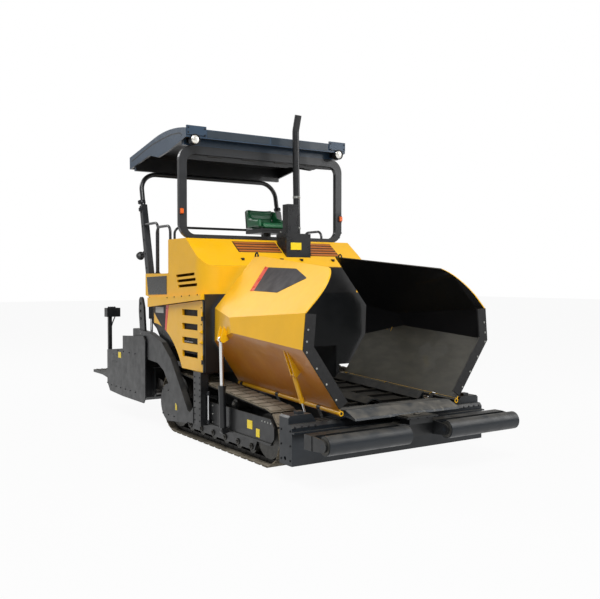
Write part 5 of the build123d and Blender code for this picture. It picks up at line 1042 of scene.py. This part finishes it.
# ---- handrail feet -------------------------------------------------------------------------------
# Each rail is bent from one steel tube and stands on turned flanges, which are welded to it and bolted
# to the deck.
RAIL_FEET = ((1.150, 0.400), (1.150, 0.820), (1.088, 0.930), (0.700, 1.270))     # x, y
DECK_HEIGHT = 2.000
foot = bmesh.new()
turned(foot, (0, 0, 0), UP, ((0, 0.034), (0.006, 0.034), (0.008, 0.022), (0.026, 0.020)), 18)
set_on("rail_flanges", foot, [((s * x, y, DECK_HEIGHT), UP, ACROSS) for s in (1, -1) for x, y in RAIL_FEET],
       black_fixing, "tractor", "dark_paint")

# ---- augers --------------------------------------------------------------------------------------
# Cast flights in hard iron follow a true screw round each shaft, polished by the mix, and move it
# outwards. The shaft is plain tube with a flanged joint by the gearbox.
AUGER_Y, AUGER_Z = 0.985, 0.440
FLIGHT_R, SHAFT_R, FLIGHT_T = 0.188, 0.036, 0.012
FLIGHT_PITCH = 0.350
AUGER_FROM, AUGER_TO = 0.126, 1.080
AUGER_STEPS = 90
# hard cast iron, rubbed to a dull shine by the mix
flight_iron = surface("cast_flight_polished_by_mix", "5a5856", 0.35, metal=0.85, mottle=0.2, mottle_mm=70, peel=0.4,
                      peel_mm=6, dust=0.15)
for side, s in SIDES:
    screw = bmesh.new()
    rings = []
    for i in range(AUGER_STEPS + 1):
        x = AUGER_FROM + (AUGER_TO - AUGER_FROM) * i / AUGER_STEPS
        angle = 2 * pi * (x - AUGER_FROM) / FLIGHT_PITCH
        spoke = Vector((0, cos(angle), s * sin(angle)))
        hub = Vector((s * x, AUGER_Y, AUGER_Z))
        half = Vector((FLIGHT_T / 2, 0, 0))
        rings.append([screw.verts.new(point) for point in (
            hub + spoke * (SHAFT_R - 0.004) - half * 1.6, hub + spoke * FLIGHT_R * 0.6 - half * 1.2,
            hub + spoke * FLIGHT_R - half * 0.8, hub + spoke * FLIGHT_R + half * 0.8,
            hub + spoke * FLIGHT_R * 0.6 + half * 1.2, hub + spoke * (SHAFT_R - 0.004) + half * 1.6)])
    for first, second in zip(rings, rings[1:]):
        for i in range(6):
            screw.faces.new((first[i - 1], first[i], second[i], second[i - 1]))
    screw.faces.new(rings[0])
    screw.faces.new(rings[-1][::-1])
    turned(screw, (s * 0.088, AUGER_Y, AUGER_Z), (s, 0, 0),
           ((0, SHAFT_R), (0.010, SHAFT_R), (0.011, 0.058), (0.026, 0.058), (0.027, SHAFT_R), (1.028, SHAFT_R),
            (1.030, SHAFT_R * 0.6), (1.048, SHAFT_R * 0.6)), 24)
    finished(f"auger_screw_{side}", screw, flight_iron, f"auger_{side}", "track_steel", f"auger_{side}")

# ---- screed: walkways, controls and cables -------------------------------------------------------
# Each extension carries a control box on its post, with rotary knobs, fed by a rubber cable that
# hangs in a loop. Steel ribs welded across the walkways give a foothold.
RIBS, RIB_PITCH = 15, 0.078
rotary_knob = ((0, 0.010), (0.006, 0.010), (0.018, 0.007), (0.020, 0.004))
for side, s in SIDES:
    body = f"screed_extension_{side}"
    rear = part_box(body)[1][1]
    rib_spots = []
    for i in range(RIBS):
        x = s * (0.08 + i * RIB_PITCH)
        spot, facing = nearest(body, (x, rear - 0.10, 0.60))
        if facing.z > LEVEL:
            rib_spots.append(((x, *spot[1:]), UP, ACROSS))
    if rib_spots:
        rib = bmesh.new()
        block(rib, (-0.008, -0.09, -0.001), (0.008, 0.09, 0.006), 0.003)
        set_on(f"walkway_ribs_{side}", rib, rib_spots, bare_steel, body, "dark_paint")
    top = nearest(body, (s * 1.16, 2.49, 1.60))[0]
    knob = bmesh.new()
    turned(knob, (0, 0, 0), UP, rotary_knob, 12)
    set_on(f"screed_knobs_{side}", knob, [(top + Vector((-0.045 + i * 0.030, -0.015 + j * 0.035, -0.001)), UP, ACROSS)
                                          for i in range(4) for j in range(2)], black_fixing, body, "dark_paint")


def smooth_path(points, steps=10):
    """Even smooth curve through the points."""
    points = [Vector(p) for p in points]
    padded = [2 * points[0] - points[1], *points, 2 * points[-1] - points[-2]]
    path = []
    for a, b, c, d in zip(padded, padded[1:], padded[2:], padded[3:]):
        for i in range(steps):
            t = i / steps
            path.append(0.5 * (2 * b + (c - a) * t + (2 * a - 5 * b + 4 * c - d) * t * t
                               + (3 * b - a - 3 * c + d) * t ** 3))
    return path + [points[-1]]


CABLE_D = 0.016
HOSE_SIDES = 10


def hose(name, points, diameter, material, body):
    """A rubber hose or cable through the points, as a closed tube."""
    path = smooth_path(points)
    bm = bmesh.new()
    axis = (path[1] - path[0]).normalized()
    side_way = axis.orthogonal().normalized()
    rings = []
    for i, point in enumerate(path):
        ahead = (path[min(i + 1, len(path) - 1)] - path[max(i - 1, 0)]).normalized()
        side_way = (side_way - ahead * side_way.dot(ahead)).normalized()
        other = ahead.cross(side_way)
        rings.append([bm.verts.new(point + (side_way * cos(2 * pi * k / HOSE_SIDES)
                                            + other * sin(2 * pi * k / HOSE_SIDES)) * diameter / 2)
                      for k in range(HOSE_SIDES)])
    for first, second in zip(rings, rings[1:]):
        for k in range(HOSE_SIDES):
            bm.faces.new((first[k - 1], first[k], second[k], second[k - 1]))
    bm.faces.new(rings[0][::-1])
    bm.faces.new(rings[-1])
    piece = finished(name, bm, material, body, "rubber_sheet")


# braided rubber: matt black, faintly ribbed
hose_rubber = surface("braided_hose_rubber", "131314", 0.6, mottle=0.12, mottle_mm=30, peel=0.5, peel_mm=3)
for side, s in SIDES:
    body = f"screed_extension_{side}"
    plug = nearest(body, (s * 1.10, 2.52, 1.38))[0]
    gland = nearest(body, (s * 1.08, 2.45, 0.72))[0]
    hose(f"control_cable_{side}", (plug, plug + Vector((s * 0.03, 0.06, -0.14)), Vector((s * 1.16, 2.60, 1.00)),
                                   gland + Vector((s * 0.04, 0.06, 0.10)), gland), CABLE_D, hose_rubber, body)
